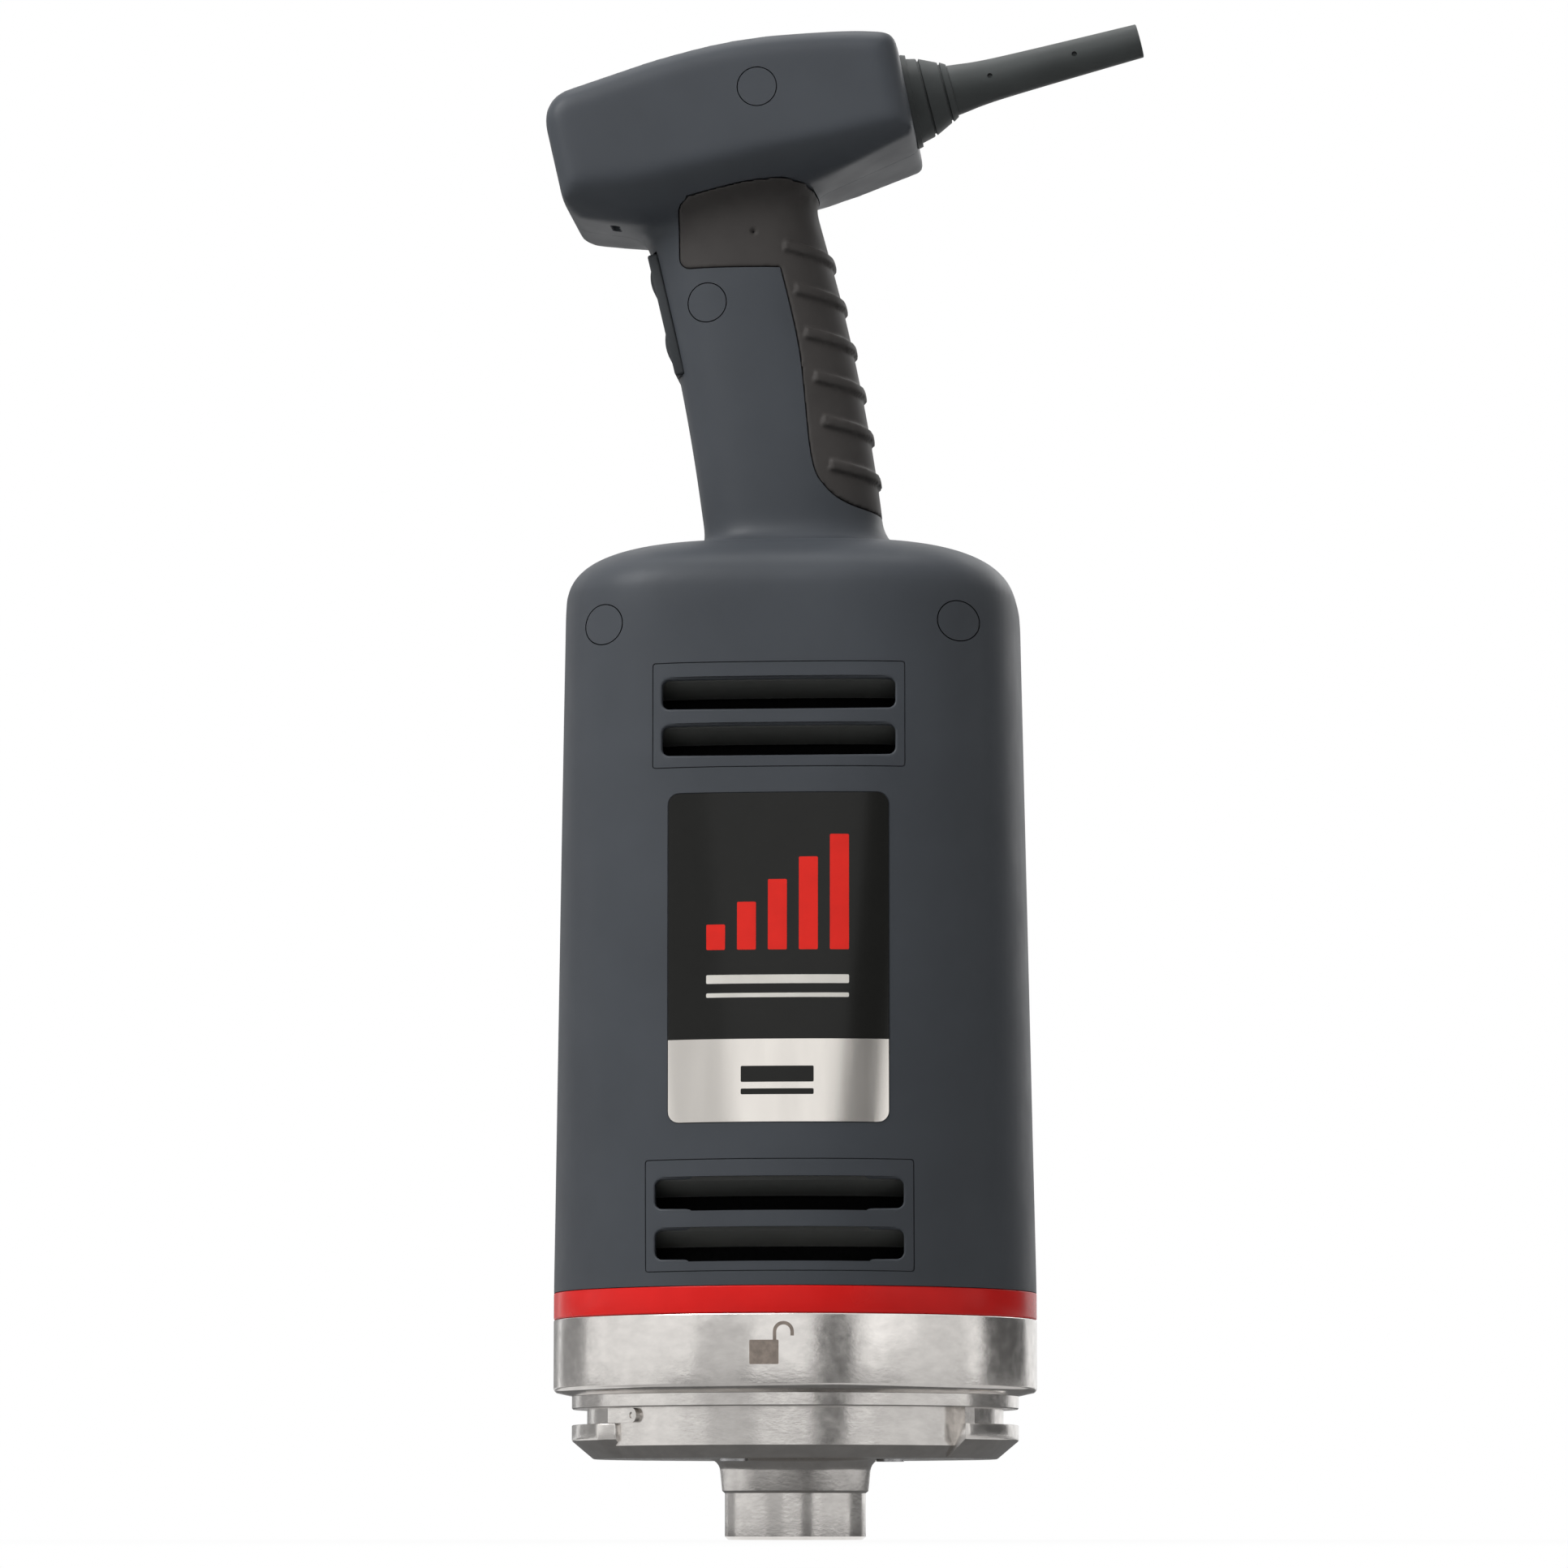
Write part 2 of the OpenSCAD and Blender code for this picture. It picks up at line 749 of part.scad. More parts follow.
// A film that follows the housing's front: outline with round corners, from grow0 to grow1
module curved_film(half_w, z0, z1, low_r, high_r, grow0, grow1) {
    columns = 16;
    low = [for (a = [0:30:90]) [half_w - low_r + low_r * sin(a), z0 + low_r - low_r * cos(a)]];
    high = [for (a = [90:-30:0]) [half_w - high_r + high_r * sin(a), z1 - high_r + high_r * cos(a)]];
    low_end = z0 + low_r;
    high_end = z1 - high_r;
    rows = concat(
        low_r > 0 ? low : [[half_w, z0]],
        [for (i = [1:3]) [half_w, low_end + (high_end - low_end) * i / 4]],
        high_r > 0 ? high : [[half_w, z1]]
    );
    count = len(rows);
    points = [
        for (grow = [grow1, grow0])
            for (r = rows)
                for (i = [0:columns])
                    let (x = r[0] * (2 * i / columns - 1))
                    [x, -front_y(x, r[1], grow), r[1]]
    ];
    wide = columns + 1;
    back = count * wide;
    faces = concat(
        [for (j = [0:count - 2]) for (i = [0:columns - 1])
            let (p = j * wide + i) for (f = [[p, p + wide, p + wide + 1], [p, p + wide + 1, p + 1]]) f],
        [for (j = [0:count - 2]) for (i = [0:columns - 1])
            let (p = back + j * wide + i)
            for (f = [[p, p + wide + 1, p + wide], [p, p + 1, p + wide + 1]]) f],
        [for (i = [0:columns - 1]) for (f = [[i, i + 1, back + i + 1], [i, back + i + 1, back + i]]) f],
        [for (i = [0:columns - 1])
            let (p = (count - 1) * wide + i)
            for (f = [[p, back + p + 1, p + 1], [p, back + p, back + p + 1]]) f],
        [for (j = [0:count - 2])
            let (p = j * wide) for (f = [[p, back + p + wide, p + wide], [p, back + p, back + p + wide]]) f],
        [for (j = [0:count - 2])
            let (p = j * wide + columns)
            for (f = [[p, p + wide, back + p + wide], [p, back + p + wide, back + p]]) f]
    );
    polyhedron(points, faces);
}

module label_film() {
    color("#141414")
        curved_film(label_half_w, foil_z, label_top_z, 0, label_corner_r, skin_gap, label_t);
}

module label_foil() {
    color("#d8d2c8")
        curved_film(label_half_w, label_z, foil_z - skin_gap, label_corner_r, 0, skin_gap, label_t);
}

// ---------- base ----------

module trim_ring() {
    color("#e1281f")
        ring(housing_r, spigot_r + loose_gap / 2, ring_z, ring_h);
}

// Metal skirt with the spigot that the two shells close on
module base_ring() {
    inner = spigot_r - spigot_t;
    round_r = 3;
    color("#c9c9c9")
        difference() {
            rotate_extrude()
                polygon(concat(
                    [[flange_pocket_r + 4, skirt_z], [lug_r, skirt_z], [lug_r + 2.2, skirt_z + 1]],
                    [for (a = [-60:15:0])
                        [housing_r - round_r + round_r * cos(a), skirt_z + 4 + round_r * sin(a)]],
                    [
                        [housing_r, ring_z], [spigot_r, ring_z],
                        [spigot_r, rib_z - loose_gap], [spigot_r - 2, rib_z - loose_gap],
                        [spigot_r - 2, rib_z + rib_h + loose_gap], [spigot_r, rib_z + rib_h + loose_gap],
                        [spigot_r, spigot_top_z], [inner, spigot_top_z],
                        [inner, web_z], [flange_pocket_r + 4, web_z]
                    ]
                ));
            around(4, bell_screw_r, 45)
                translate([0, 0, skirt_z - over])
                    cylinder(r = 2.2, h = web_h + 2 * over);
        }
}

function nose_fillet() = [
    for (a = [180:-15:90])
        [nose_root_r + nose_fillet_r + nose_fillet_r * cos(a),
            flange_z - nose_fillet_r + nose_fillet_r * sin(a)]
];

module sector(angle, middle) {
    rotate([0, 0, middle - angle / 2])
        rotate_extrude(angle = angle)
            children();
}

// Lug with a stop block at one end and a sloping lead-in at the other
module bayonet_lug(middle) {
    difference() {
        sector(lug_angle, middle)
            polygon([
                [flange_pocket_r + 2, flange_z], [lug_r - 6.1, flange_z],
                [lug_r, flange_z + lug_chamfer_h], [lug_r, lug_top_z],
                [flange_pocket_r + 2, lug_top_z]
            ]);
        intersection() {
            ring(lug_r + over, neck_r, flange_z - over, lug_h + 2 * over);
            rotate([0, 0, middle + lug_angle / 2])
                translate([lug_r - 10, 0, flange_z])
                    rotate([lead_in, 0, 0])
                        translate([0, 0, -10])
                            cube([20, 20, 30]);
        }
    }
    sector(stop_angle, middle - (lug_angle - stop_angle) / 2)
        translate([neck_r - 3, lug_top_z - 1])
            square([3 + groove_depth - 0.4, groove_h + 2]);
}

// Cast bump with a dimple that the arm's spring catch rides over
module detent_boss() {
    translate([neck_r - 3, 0, lug_top_z + groove_h / 2])
        rotate([0, 90, 0])
            difference() {
                union() {
                    translate([-2, -5, 0])
                        cube([4, 8, 4.2]);
                    translate([0, 3, 0])
                        cylinder(r = 2, h = 4.2);
                }
                translate([0, 2.6, 3.6])
                    cylinder(r = 0.9, h = 2);
            }
}

// Bayonet casting: nose, flange, two lugs, their stops and the ledge
module coupling_flange() {
    edge = 0.9;
    chamfer_r = neck_r - 3.6;
    color("#d2d2d0")
        difference() {
            union() {
                rotate_extrude()
                    polygon(concat(
                        [[nose_bore_r, 0], [nose_r - edge, 0], [nose_r, edge]],
                        [[nose_r, nose_straight_l], [nose_r + 0.9, nose_straight_l + 1]],
                        nose_fillet(),
                        [
                            [chamfer_r, flange_z], [neck_r, flange_z + 5],
                            [neck_r, ledge_z], [lug_r, ledge_z], [lug_r, skirt_z],
                            [flange_pocket_r, skirt_z], [flange_pocket_r, floor_z],
                            [seal_r + seat_gap, floor_z], [seal_r + seat_gap, flange_z],
                            [seal_hole_r, flange_z], [seal_hole_r, bore_top_z],
                            [nose_bore_r, bore_top_z]
                        ]
                    ));
                for (middle = [0, 180]) {
                    bayonet_lug(middle);
                    rotate([0, 0, middle + lug_angle / 2 + 1])
                        detent_boss();
                }
            }
            around(3, screw_circle_r, flange_screws_from)
                union() {
                    translate([0, 0, flange_z - over - nose_fillet_r])
                        cylinder(r = 4.3, h = nose_fillet_r + over + 2.5);
                    translate([0, 0, flange_z])
                        cylinder(r = 2.7, h = flange_floor_t + over);
                }
            around(4, bell_screw_r, 45)
                translate([0, 0, skirt_z - 8])
                    cylinder(r = 2 + seat_gap, h = 8 + over);
        }
}

module cap_screw(r, head_r, head_h, l, socket) {
    difference() {
        union() {
            translate([0, 0, -0.2])
                cylinder(r = r, h = l + 0.2);
            translate([0, 0, -head_h])
                cylinder(r = head_r, h = head_h);
        }
        translate([0, 0, -head_h - over])
            cylinder(r = socket, h = over + head_h * 0.6, $fn = 6);
    }
}

// Three socket screws from below hold the flange to the motor bell
module flange_screws() {
    color("#8f8f8f")
        around(3, screw_circle_r, flange_screws_from)
            translate([0, 0, flange_z + 2.5])
                cap_screw(2.1, 3.9, 3.2, 13, 1.8);
}

// Flat ring between the flange and the skirt
module base_seal() {
    color("#202020")
        ring(flange_pocket_r + 4 - loose_gap, flange_pocket_r + loose_gap, skirt_z, 2);
}

module shaft_seal() {
    color("#3a1f16")
        ring(seal_r, shaft_r + 0.05, flange_z, flange_floor_t - 0.1);
}

// ---------- motor frame ----------

// Cast bell that carries the lower bearing and the stator
module motor_bell() {
    hub_bottom_z = floor_z;
    seat_z = stator_z - seat_ring_h;
    window_h = 27;
    foot_r = spigot_r - spigot_t - loose_gap;
    color("#a9a9a6")
        difference() {
            rotate_extrude()
                polygon([
                    [lower_bearing_r - bore_lip, hub_bottom_z], [hub_r, hub_bottom_z],
                    [hub_r, web_z], [foot_r, web_z], [foot_r, web_z + bell_floor_t],
                    [bell_r + bell_t, web_z + bell_floor_t], [bell_r + bell_t, seat_z],
                    [lug_pad_r, seat_z], [lug_pad_r, stator_z], [stator_r - 7, stator_z],
                    [stator_r - 7, seat_z], [bell_r, seat_z],
                    [bell_r, web_z + bell_floor_t],
                    [lower_bearing_r + seat_gap, web_z + bell_floor_t],
                    [lower_bearing_r + seat_gap, lower_bearing_z],
                    [lower_bearing_r - bore_lip, lower_bearing_z]
                ]);
            for (a = [0:45:315])
                rotate([0, 0, a + 22.5])
                    translate([bell_r - 4, -13, fan_z - 8])
                        cube([bell_t + 8, 26, window_h]);
            around(3, screw_circle_r, flange_screws_from)
                translate([0, 0, hub_bottom_z - over])
                    cylinder(r = 2.1 + seat_gap, h = 14 + over);
            around(4, bell_screw_r, 45)
                translate([0, 0, web_z - over])
                    cylinder(r = 2.2, h = bell_floor_t + 2 * over);
            around(4, bolt_circle_r, 45)
                translate([0, 0, seat_z - over])
                    cylinder(r = bolt_r + seat_gap, h = seat_ring_h + 2 * over);
        }
}

// Four screws from above hold the bell and the skirt to the flange
module bell_screws() {
    color("silver")
        around(4, bell_screw_r, 45)
            translate([0, 0, web_z + bell_floor_t])
                mirror([0, 0, 1])
                    cap_screw(2, 3.5, 3, bell_floor_t + web_h + 7, 1.5);
}

module race(r_out, r_in, z, h, groove_r, pitch_r) {
    difference() {
        ring(r_out, r_in, z, h);
        translate([0, 0, z + h / 2])
            rotate_extrude()
                translate([pitch_r, 0])
                    circle(groove_r, $fn = 48);
    }
}

lower_pitch_r = (lower_bearing_r + shaft_r) / 2;
upper_pitch_r = (upper_bearing_r + shaft_top_r) / 2;
lower_ball_r = (lower_bearing_r - shaft_r) * 0.3;
upper_ball_r = (upper_bearing_r - shaft_top_r) * 0.3;
race_share = 0.3;

module lower_bearing_outer() {
    t = (lower_bearing_r - shaft_r) * race_share;
    color("#b8b8b8")
        race(lower_bearing_r, lower_bearing_r - t, lower_bearing_z, lower_bearing_w,
            lower_ball_r + 0.1, lower_pitch_r);
}

module upper_bearing_outer() {
    t = (upper_bearing_r - shaft_top_r) * race_share;
    color("#b8b8b8")
        race(upper_bearing_r, upper_bearing_r - t, upper_bearing_z, upper_bearing_w,
            upper_ball_r + 0.1, upper_pitch_r);
}

module lower_bearing_inner() {
    t = (lower_bearing_r - shaft_r) * race_share;
    color("#bdbdbd")
        race(shaft_r + t, shaft_r, lower_bearing_z, lower_bearing_w, lower_ball_r + 0.1, lower_pitch_r);
}

module upper_bearing_inner() {
    t = (upper_bearing_r - shaft_top_r) * race_share;
    color("#bdbdbd")
        race(shaft_top_r + t, shaft_top_r, upper_bearing_z, upper_bearing_w,
            upper_ball_r + 0.1, upper_pitch_r);
}

module bearing_balls() {
    color("#d8d8d8") {
        around(8, lower_pitch_r)
            translate([0, 0, lower_bearing_z + lower_bearing_w / 2])
                sphere(lower_ball_r, $fn = 32);
        around(7, upper_pitch_r)
            translate([0, 0, upper_bearing_z + upper_bearing_w / 2])
                sphere(upper_ball_r, $fn = 32);
    }
}

// Top bracket: foot ring, four legs and the hub of the upper bearing
module upper_bracket() {
    hub_z = upper_bearing_z - 4;
    leg_r = plate_r;
    color("#a9a9a6")
        difference() {
            union() {
                ring(lug_pad_r, leg_r, stator_top_z, bracket_foot_h);
                ring(bracket_hub_r, shaft_top_r + 3, hub_z, bracket_top_z - hub_z);
                for (a = [45:90:315])
                    rotate([0, 0, a]) {
                        translate([leg_r, -leg_w / 2, stator_top_z + over])
                            cube([leg_t, leg_w, hub_z + 5 - stator_top_z - over]);
                        translate([bracket_hub_r - 2, -leg_w / 2, hub_z])
                            cube([leg_r - bracket_hub_r + 3, leg_w, 5]);
                    }
            }
            translate([0, 0, upper_bearing_z])
                cylinder(r = upper_bearing_r + seat_gap, h = upper_bearing_w + 2 + over);
            translate([0, 0, hub_z - over])
                cylinder(r = upper_bearing_r - 3, h = 4 + 2 * over);
            around(4, bolt_circle_r, 45)
                translate([0, 0, stator_top_z - over])
                    cylinder(r = bolt_r + seat_gap, h = bracket_foot_h + 2 * over);
        }
}

// Long bolts that clamp bracket, stator and bell
module through_bolts() {
    seat_z = stator_z - seat_ring_h;
    color("silver")
        around(4, bolt_circle_r, 45)
            union() {
                translate([0, 0, seat_z - 3])
                    cylinder(r = bolt_r, h = stator_top_z + bracket_foot_h - seat_z + 6);
                translate([0, 0, seat_z - 3.5])
                    cylinder(r = nut_r, h = 3.5, $fn = 6);
                translate([0, 0, stator_top_z + bracket_foot_h])
                    cylinder(r = nut_r, h = 3.5, $fn = 6);
            }
}

pole_angle = 100;
yoke_t = 9;
slot_clear = 0.4;

// Laminated stack with two pole pieces
module stator_core() {
    bore = armature_r + air_gap;
    color("#7d7f82")
        difference() {
            ring(stator_r, bore, stator_z, stator_l);
            translate([0, 0, stator_z - over])
                for (middle = [90, 270])
                    sector(180 - pole_angle, middle)
                        translate([bore - over, 0])
                            square([stator_r - yoke_t - bore + over, stator_l + 2 * over]);
        }
}

// Coil sides in the gaps between the poles, joined by end turns
module field_windings() {
    bore = armature_r + air_gap + 1;
    outer = stator_r - yoke_t - slot_clear;
    end_r = stator_r - 7 - loose_gap;
    side_angle = 180 - pole_angle - 4;
    color("#b4642a")
        union() {
            for (z = [stator_z - winding_h, stator_top_z + slot_clear])
                ring(min(outer, end_r), bore, z, winding_h - slot_clear);
            translate([0, 0, stator_z - over])
                for (middle = [90, 270])
                    sector(side_angle, middle)
                        translate([bore + 0.4, 0])
                            square([outer - bore - 0.6, stator_l + 2 * over]);
        }
}

// Plastic ring that parts the air of the two vents
module air_baffle() {
    outer = body_half_w(stator_z) - wall - 1.4;
    color("#2b2d30")
        difference() {
            ring(outer, stator_r + 0.1, stator_z, 2.5);
            around(4, bolt_circle_r, 45)
                translate([0, 0, stator_z - over])
                    cylinder(r = bolt_r + seat_gap, h = 2.5 + 2 * over);
        }
}

// ---------- brushes ----------

brush_h = 6;
brush_w = 8;
brush_l = 13;
holder_t = 1.6;
holder_l = 22;
holder_r = commutator_r + 1.6;
plate_z = brush_z - brush_h / 2 - holder_t - plate_t - skin_gap;

// Insulating plate that the brush holders stand on, held between the bracket's legs
module brush_plate() {
    color("#6b4a2b")
        ring(plate_r - skin_gap, commutator_r + 2.5, plate_z, plate_t);
}

module brush_holders() {
    color("#c9a13b")
        for (a = [0, 180])
            rotate([0, 0, a])
                difference() {
                    translate([holder_r, -brush_w / 2 - holder_t, brush_z - brush_h / 2 - holder_t])
                        cube([holder_l, brush_w + 2 * holder_t, brush_h + 2 * holder_t]);
                    translate([holder_r - over, -brush_w / 2 - 0.1, brush_z - brush_h / 2 - 0.1])
                        cube([holder_l, brush_w + 0.2, brush_h + 0.2]);
                }
}

module carbon_brushes() {
    color("#2a2a2c")
        for (a = [0, 180])
            rotate([0, 0, a])
                difference() {
                    translate([commutator_r - 2, -brush_w / 2, brush_z - brush_h / 2])
                        cube([brush_l + 2, brush_w, brush_h]);
                    translate([0, 0, brush_z - brush_h])
                        cylinder(r = commutator_r + 0.06, h = 2 * brush_h);
                }
}

module brush_springs() {
    start = commutator_r + brush_l + 0.1;
    length = holder_r + holder_l - over - start - 0.1;
    color("#c8c8c8")
        for (a = [0, 180])
            rotate([0, 0, a])
                translate([start, 0, brush_z])
                    rotate([0, 90, 0])
                        coil_spring(2.3, 0.35, length, 4);
}

// ---------- electronics ----------

module board_carrier() {
    color("#303236")
        difference() {
            union() {
                ring(bracket_hub_r, upper_bearing_r + 1, bracket_top_z, 4);
                translate([-board_x / 2 - 2, -board_y / 2 - 2, bracket_top_z + 4])
                    cube([board_x + 4, board_y + 4, 2]);
            }
            translate([0, 0, bracket_top_z + 4 - over])
                cylinder(r = upper_bearing_r, h = 4);
        }
}

module control_board() {
    color("#1f5a36")
        translate([-board_x / 2, -board_y / 2, board_z])
            cube([board_x, board_y, board_t]);
}

part_z = board_z + board_t;

module heat_sink() {
    fins = 6;
    l = 26;
    color("#9a9c9e")
        translate([-board_x / 2 + 3, -l / 2, part_z])
            union() {
                cube([18, l, 2]);
                for (i = [0:fins - 1])
                    translate([i * (18 - 1.4) / (fins - 1), 0, 1])
                        cube([1.4, l, 15]);
            }
}

module filter_capacitor() {
    color("#c8b23a")
        translate([6, 16, part_z])
            translate([-13, -8, 0])
                cube([26, 9, 15]);
}

module terminal_block() {
    ways = 4;
    pitch = 6;
    color("#2f7a4a")
        translate([8, -20, part_z])
            difference() {
                cube([ways * pitch, 9, 10]);
                for (i = [0:ways - 1])
                    translate([(i + 0.5) * pitch, 4.5, 5])
                        cylinder(r = 1.8, h = 6);
            }
}

// ---------- handle internals ----------

// Frame inside the grip that holds both switches behind their buttons
module switch_carrier() {
    half_w = grip_w / 2 - grip_wall - 0.7;
    boss_depth = closing_screws[3][1] - 1 - loose_gap;
    rail_t = 1.5;
    color("#d8d6cc")
        at_buttons()
            difference() {
                union() {
                    translate([carrier_x, -half_w, -bezel_h / 2])
                        cube([carrier_t, 2 * half_w, bezel_h]);
                    for (y = [-switch_w / 2 - rail_t - skin_gap, switch_w / 2 + skin_gap])
                        translate([carrier_x, y, -bezel_h / 2])
                            cube([carrier_t + switch_depth - 2, rail_t, bezel_h]);
                }
                for (z = [trigger_z, lock_z])
                    translate([carrier_x - over, 0, z])
                        rotate([0, 90, 0])
                            cylinder(r = stem_r + 0.5, h = carrier_t + 2 * over);
                translate([post_x, -boss_depth, post_z])
                    rotate([90, 0, 0])
                        cylinder(r = plug_boss_r + loose_gap, h = grip_w / 2);
            }
}

module micro_switch(z) {
    at_buttons()
        translate([carrier_x + carrier_t, -switch_w / 2, z - switch_h / 2])
            cube([switch_depth, switch_w, switch_h]);
}

module start_switch() {
    color("#232323")
        micro_switch(trigger_z + 3.6);
}

module lock_switch() {
    color("#232323")
        micro_switch(lock_z - 4.6);
}

// Push button with a crowned face, a lip behind the frame and a stem
module push_button(z, h, gap_to_switch) {
    crown_r = h * 0.9;
    front = -button_out;
    stem_end = carrier_x + carrier_t - gap_to_switch;
    at_buttons()
        translate([0, 0, z])
            union() {
                intersection() {
                    translate([front, -button_w / 2, -h / 2])
                        cube([lip_x - front + 0.2, button_w, h]);
                    translate([front + crown_r, 0, 0])
                        rotate([90, 0, 0])
                            cylinder(r = crown_r, h = button_w + 2, center = true);
                }
                translate([lip_x, -button_w / 2 - lip_w, -h / 2 - lip_w / 2])
                    cube([lip_t, button_w + 2 * lip_w, h + lip_w]);
                translate([lip_x, 0, 0])
                    rotate([0, 90, 0])
                        cylinder(r = stem_r, h = stem_end - lip_x);
            }
}

module start_trigger() {
    color("#2e3133")
        push_button(trigger_z, trigger_h, trigger_travel + 0.3);
}

module lock_button() {
    color("#2e3133")
        push_button(lock_z, lock_h, lock_travel + 0.3);
}

module button_spring(z) {
    at_buttons()
        translate([lip_x + lip_t + skin_gap, 0, z])
            rotate([0, 90, 0])
                coil_spring(stem_r + 0.9, 0.35, carrier_x - lip_x - lip_t - 2 * skin_gap, 4);
}

module trigger_spring() {
    color("#c8c8c8")
        button_spring(trigger_z);
}

module lock_spring() {
    color("#c8c8c8")
        button_spring(lock_z);
}

// Rubber guard: flange outside the head, neck through its wall, steps, then a tapering tube
module strain_relief() {
    step_h = 4;
    color("#505454")
        difference() {
            union() {
                at_guard()
                    rotate([0, -guard_tilt, 0]) {
                        translate([0, 0, -8])
                            cylinder(r = guard_neck_r, h = 12);
                        translate([0, 0, -8])
                            cylinder(r = guard_neck_r + 2.4, h = 3);
                        translate([0, 0, 0.6])
                            cylinder(r1 = guard_flange_r, r2 = guard_flange_r - 2, h = 3.6);
                    }
                at_guard()
                    rotate([0, -guard_rise, 0]) {
                        for (i = [0:2])
                            translate([0, 0, 3])
                                cylinder(r = 12 - 1.6 * i, h = 3 + (i + 1) * step_h);
                        translate([0, 0, 12])
                            cylinder(r1 = guard_root_r + 1, r2 = guard_tip_r, h = guard_l - 12);
                    }
            }
            at_guard()
                rotate([0, -guard_rise, 0]) {
                    translate([0, 0, -14])
                        cylinder(r = cord_bore_r, h = guard_l + 20);
                    translate([0, 0, -14])
                        cylinder(r = cord_bore_r + 1, h = 14);
                }
        }
}

// Saddle that grips the cord inside the head
module cord_clamp() {
    color("#2b2d30")
        translate([clamp_x, 0, clamp_z])
            difference() {
                translate([-5, -13, 0])
                    cube([10, 26, 5]);
                for (s = [-1, 1])
                    translate([0, s * clamp_screw_y, -over])
                        cylinder(r = clamp_screw_r + 0.1, h = 5 + 2 * over);
            }
}

module clamp_screws() {
    color("silver")
        for (s = [-1, 1])
            translate([clamp_x, s * clamp_screw_y, clamp_z + 5])
                mirror([0, 0, 1])
                    cap_screw(clamp_screw_r, 2.8, 2, 11, 1.2);
}

// Bundle of leads from the cord guard down the grip to the board
lead_route = [
    [16, 0, guard_z - 13], [0, 0, guard_z - 19], [-8, 0, under_z + 10],
    [grip_middle(under_z - 6) + 8, 0, under_z - 6],
    [grip_middle(under_z - 30) + 8, 0, under_z - 30],
    [grip_middle(under_z - 55) + 5, 0, under_z - 55],
    [grip_middle(foot_z) + 2, 0, foot_z],
    [4, -6, top_z - 14], [14, -13, part_z + 22], [20, -15.5, part_z + 12]
];

// A point of the smooth curve through the route, a share t of the way from point i to the next
function between(route, i, t) =
    let (last = len(route) - 1)
    let (a = route[max(0, i - 1)], b = route[i], c = route[i + 1], d = route[min(last, i + 2)])
    0.5 * (2 * b + (c - a) * t + (2 * a - 5 * b + 4 * c - d) * t * t
        + (3 * b - a - 3 * c + d) * t * t * t);
function smooth_route(route) = concat(
    [for (i = [0:len(route) - 2]) for (t = [0, 1 / 3, 2 / 3]) between(route, i, t)],
    [route[len(route) - 1]]
);

module motor_leads() {
    color("#5a2020")
        swept_tube(smooth_route(lead_route), 2.2, 8);
}

// Direction of the route at point i, from its neighbours
function route_way(route, i) =
    let (a = route[max(0, i - 1)], b = route[min(len(route) - 1, i + 1)])
    (b - a) / norm(b - a);

module swept_tube(route, r, sides) {
    count = len(route);
    points = [
        for (i = [0:count - 1])
            let (way = route_way(route, i), side = [0, 1, 0], up = cross(way, side) / norm(cross(way, side)))
            let (across = cross(up, way))
            for (k = [0:sides - 1])
                let (t = 360 * k / sides)
                route[i] + r * cos(t) * up + r * sin(t) * across
    ];
    walls = [
        for (i = [0:count - 2])
            for (k = [0:sides - 1])
                let (m = (k + 1) % sides)
                [i * sides + k, i * sides + m, (i + 1) * sides + m, (i + 1) * sides + k]
    ];
    first = [for (k = [0:sides - 1]) sides - 1 - k];
    last = [for (k = [0:sides - 1]) (count - 1) * sides + k];
    polyhedron(points, concat([first], walls, [last]));
}

// ---------- rotor ----------

module motor_shaft() {
    low = socket_depth + 1;
    color("#c4c4c6")
        difference() {
            union() {
                translate([0, 0, low])
                    cylinder(r = dog_shaft_r, h = dog_l - low + 0.5);
                translate([0, 0, dog_l])
                    cylinder(r = shaft_r, h = upper_bearing_z - dog_l);
                translate([0, 0, upper_bearing_z - over])
                    cylinder(r = shaft_top_r, h = upper_bearing_w + 2 + over);
            }
            translate([0, 0, (low + dog_l) / 2])
                rotate([90, 0, 0])
                    cylinder(r = pin_r + seat_gap, h = 4 * dog_r, center = true);
        }
}

// Coupling piece that turns the blending arm's shaft
module drive_dog() {
    low = socket_depth + 1;
    color("#9a9a98")
        difference() {
            cylinder(r = dog_r, h = dog_l);
            translate([0, 0, -over])
                cylinder(r = socket_r, h = socket_depth + over);
            translate([0, 0, low - seat_gap])
                cylinder(r = dog_shaft_r, h = dog_l);
            translate([0, 0, (low + dog_l) / 2])
                rotate([90, 0, 0])
                    cylinder(r = pin_r + seat_gap, h = 4 * dog_r, center = true);
            around(4, socket_r + 3)
                translate([0, -1.5, -over])
                    cube([dog_r, 3, 3.5 + over]);
        }
}

module dog_pin() {
    low = socket_depth + 1;
    color("#b0b0b0")
        translate([0, 0, (low + dog_l) / 2])
            rotate([90, 0, 0])
                cylinder(r = pin_r, h = 2 * dog_r - 1, center = true);
}

module cooling_fan() {
    hub = shaft_r + 5;
    blade_t = 1.8;
    color("#26282a")
        difference() {
            union() {
                translate([0, 0, fan_z])
                    cylinder(r = hub, h = fan_h);
                translate([0, 0, fan_z + fan_h - 2])
                    cylinder(r = fan_r, h = 2);
                for (i = [0:fan_blades - 1])
                    rotate([0, 0, 360 * i / fan_blades])
                        translate([hub + 6, -blade_t / 2, fan_z])
                            cube([fan_r - hub - 7, blade_t, fan_h - 1]);
            }
            translate([0, 0, fan_z - over])
                cylinder(r = shaft_r, h = fan_h + 2 * over);
        }
}

armature_slot_r = 3;
armature_slot_circle = armature_r - armature_slot_r - 1.2;
bar_r = armature_slot_r - 0.3;

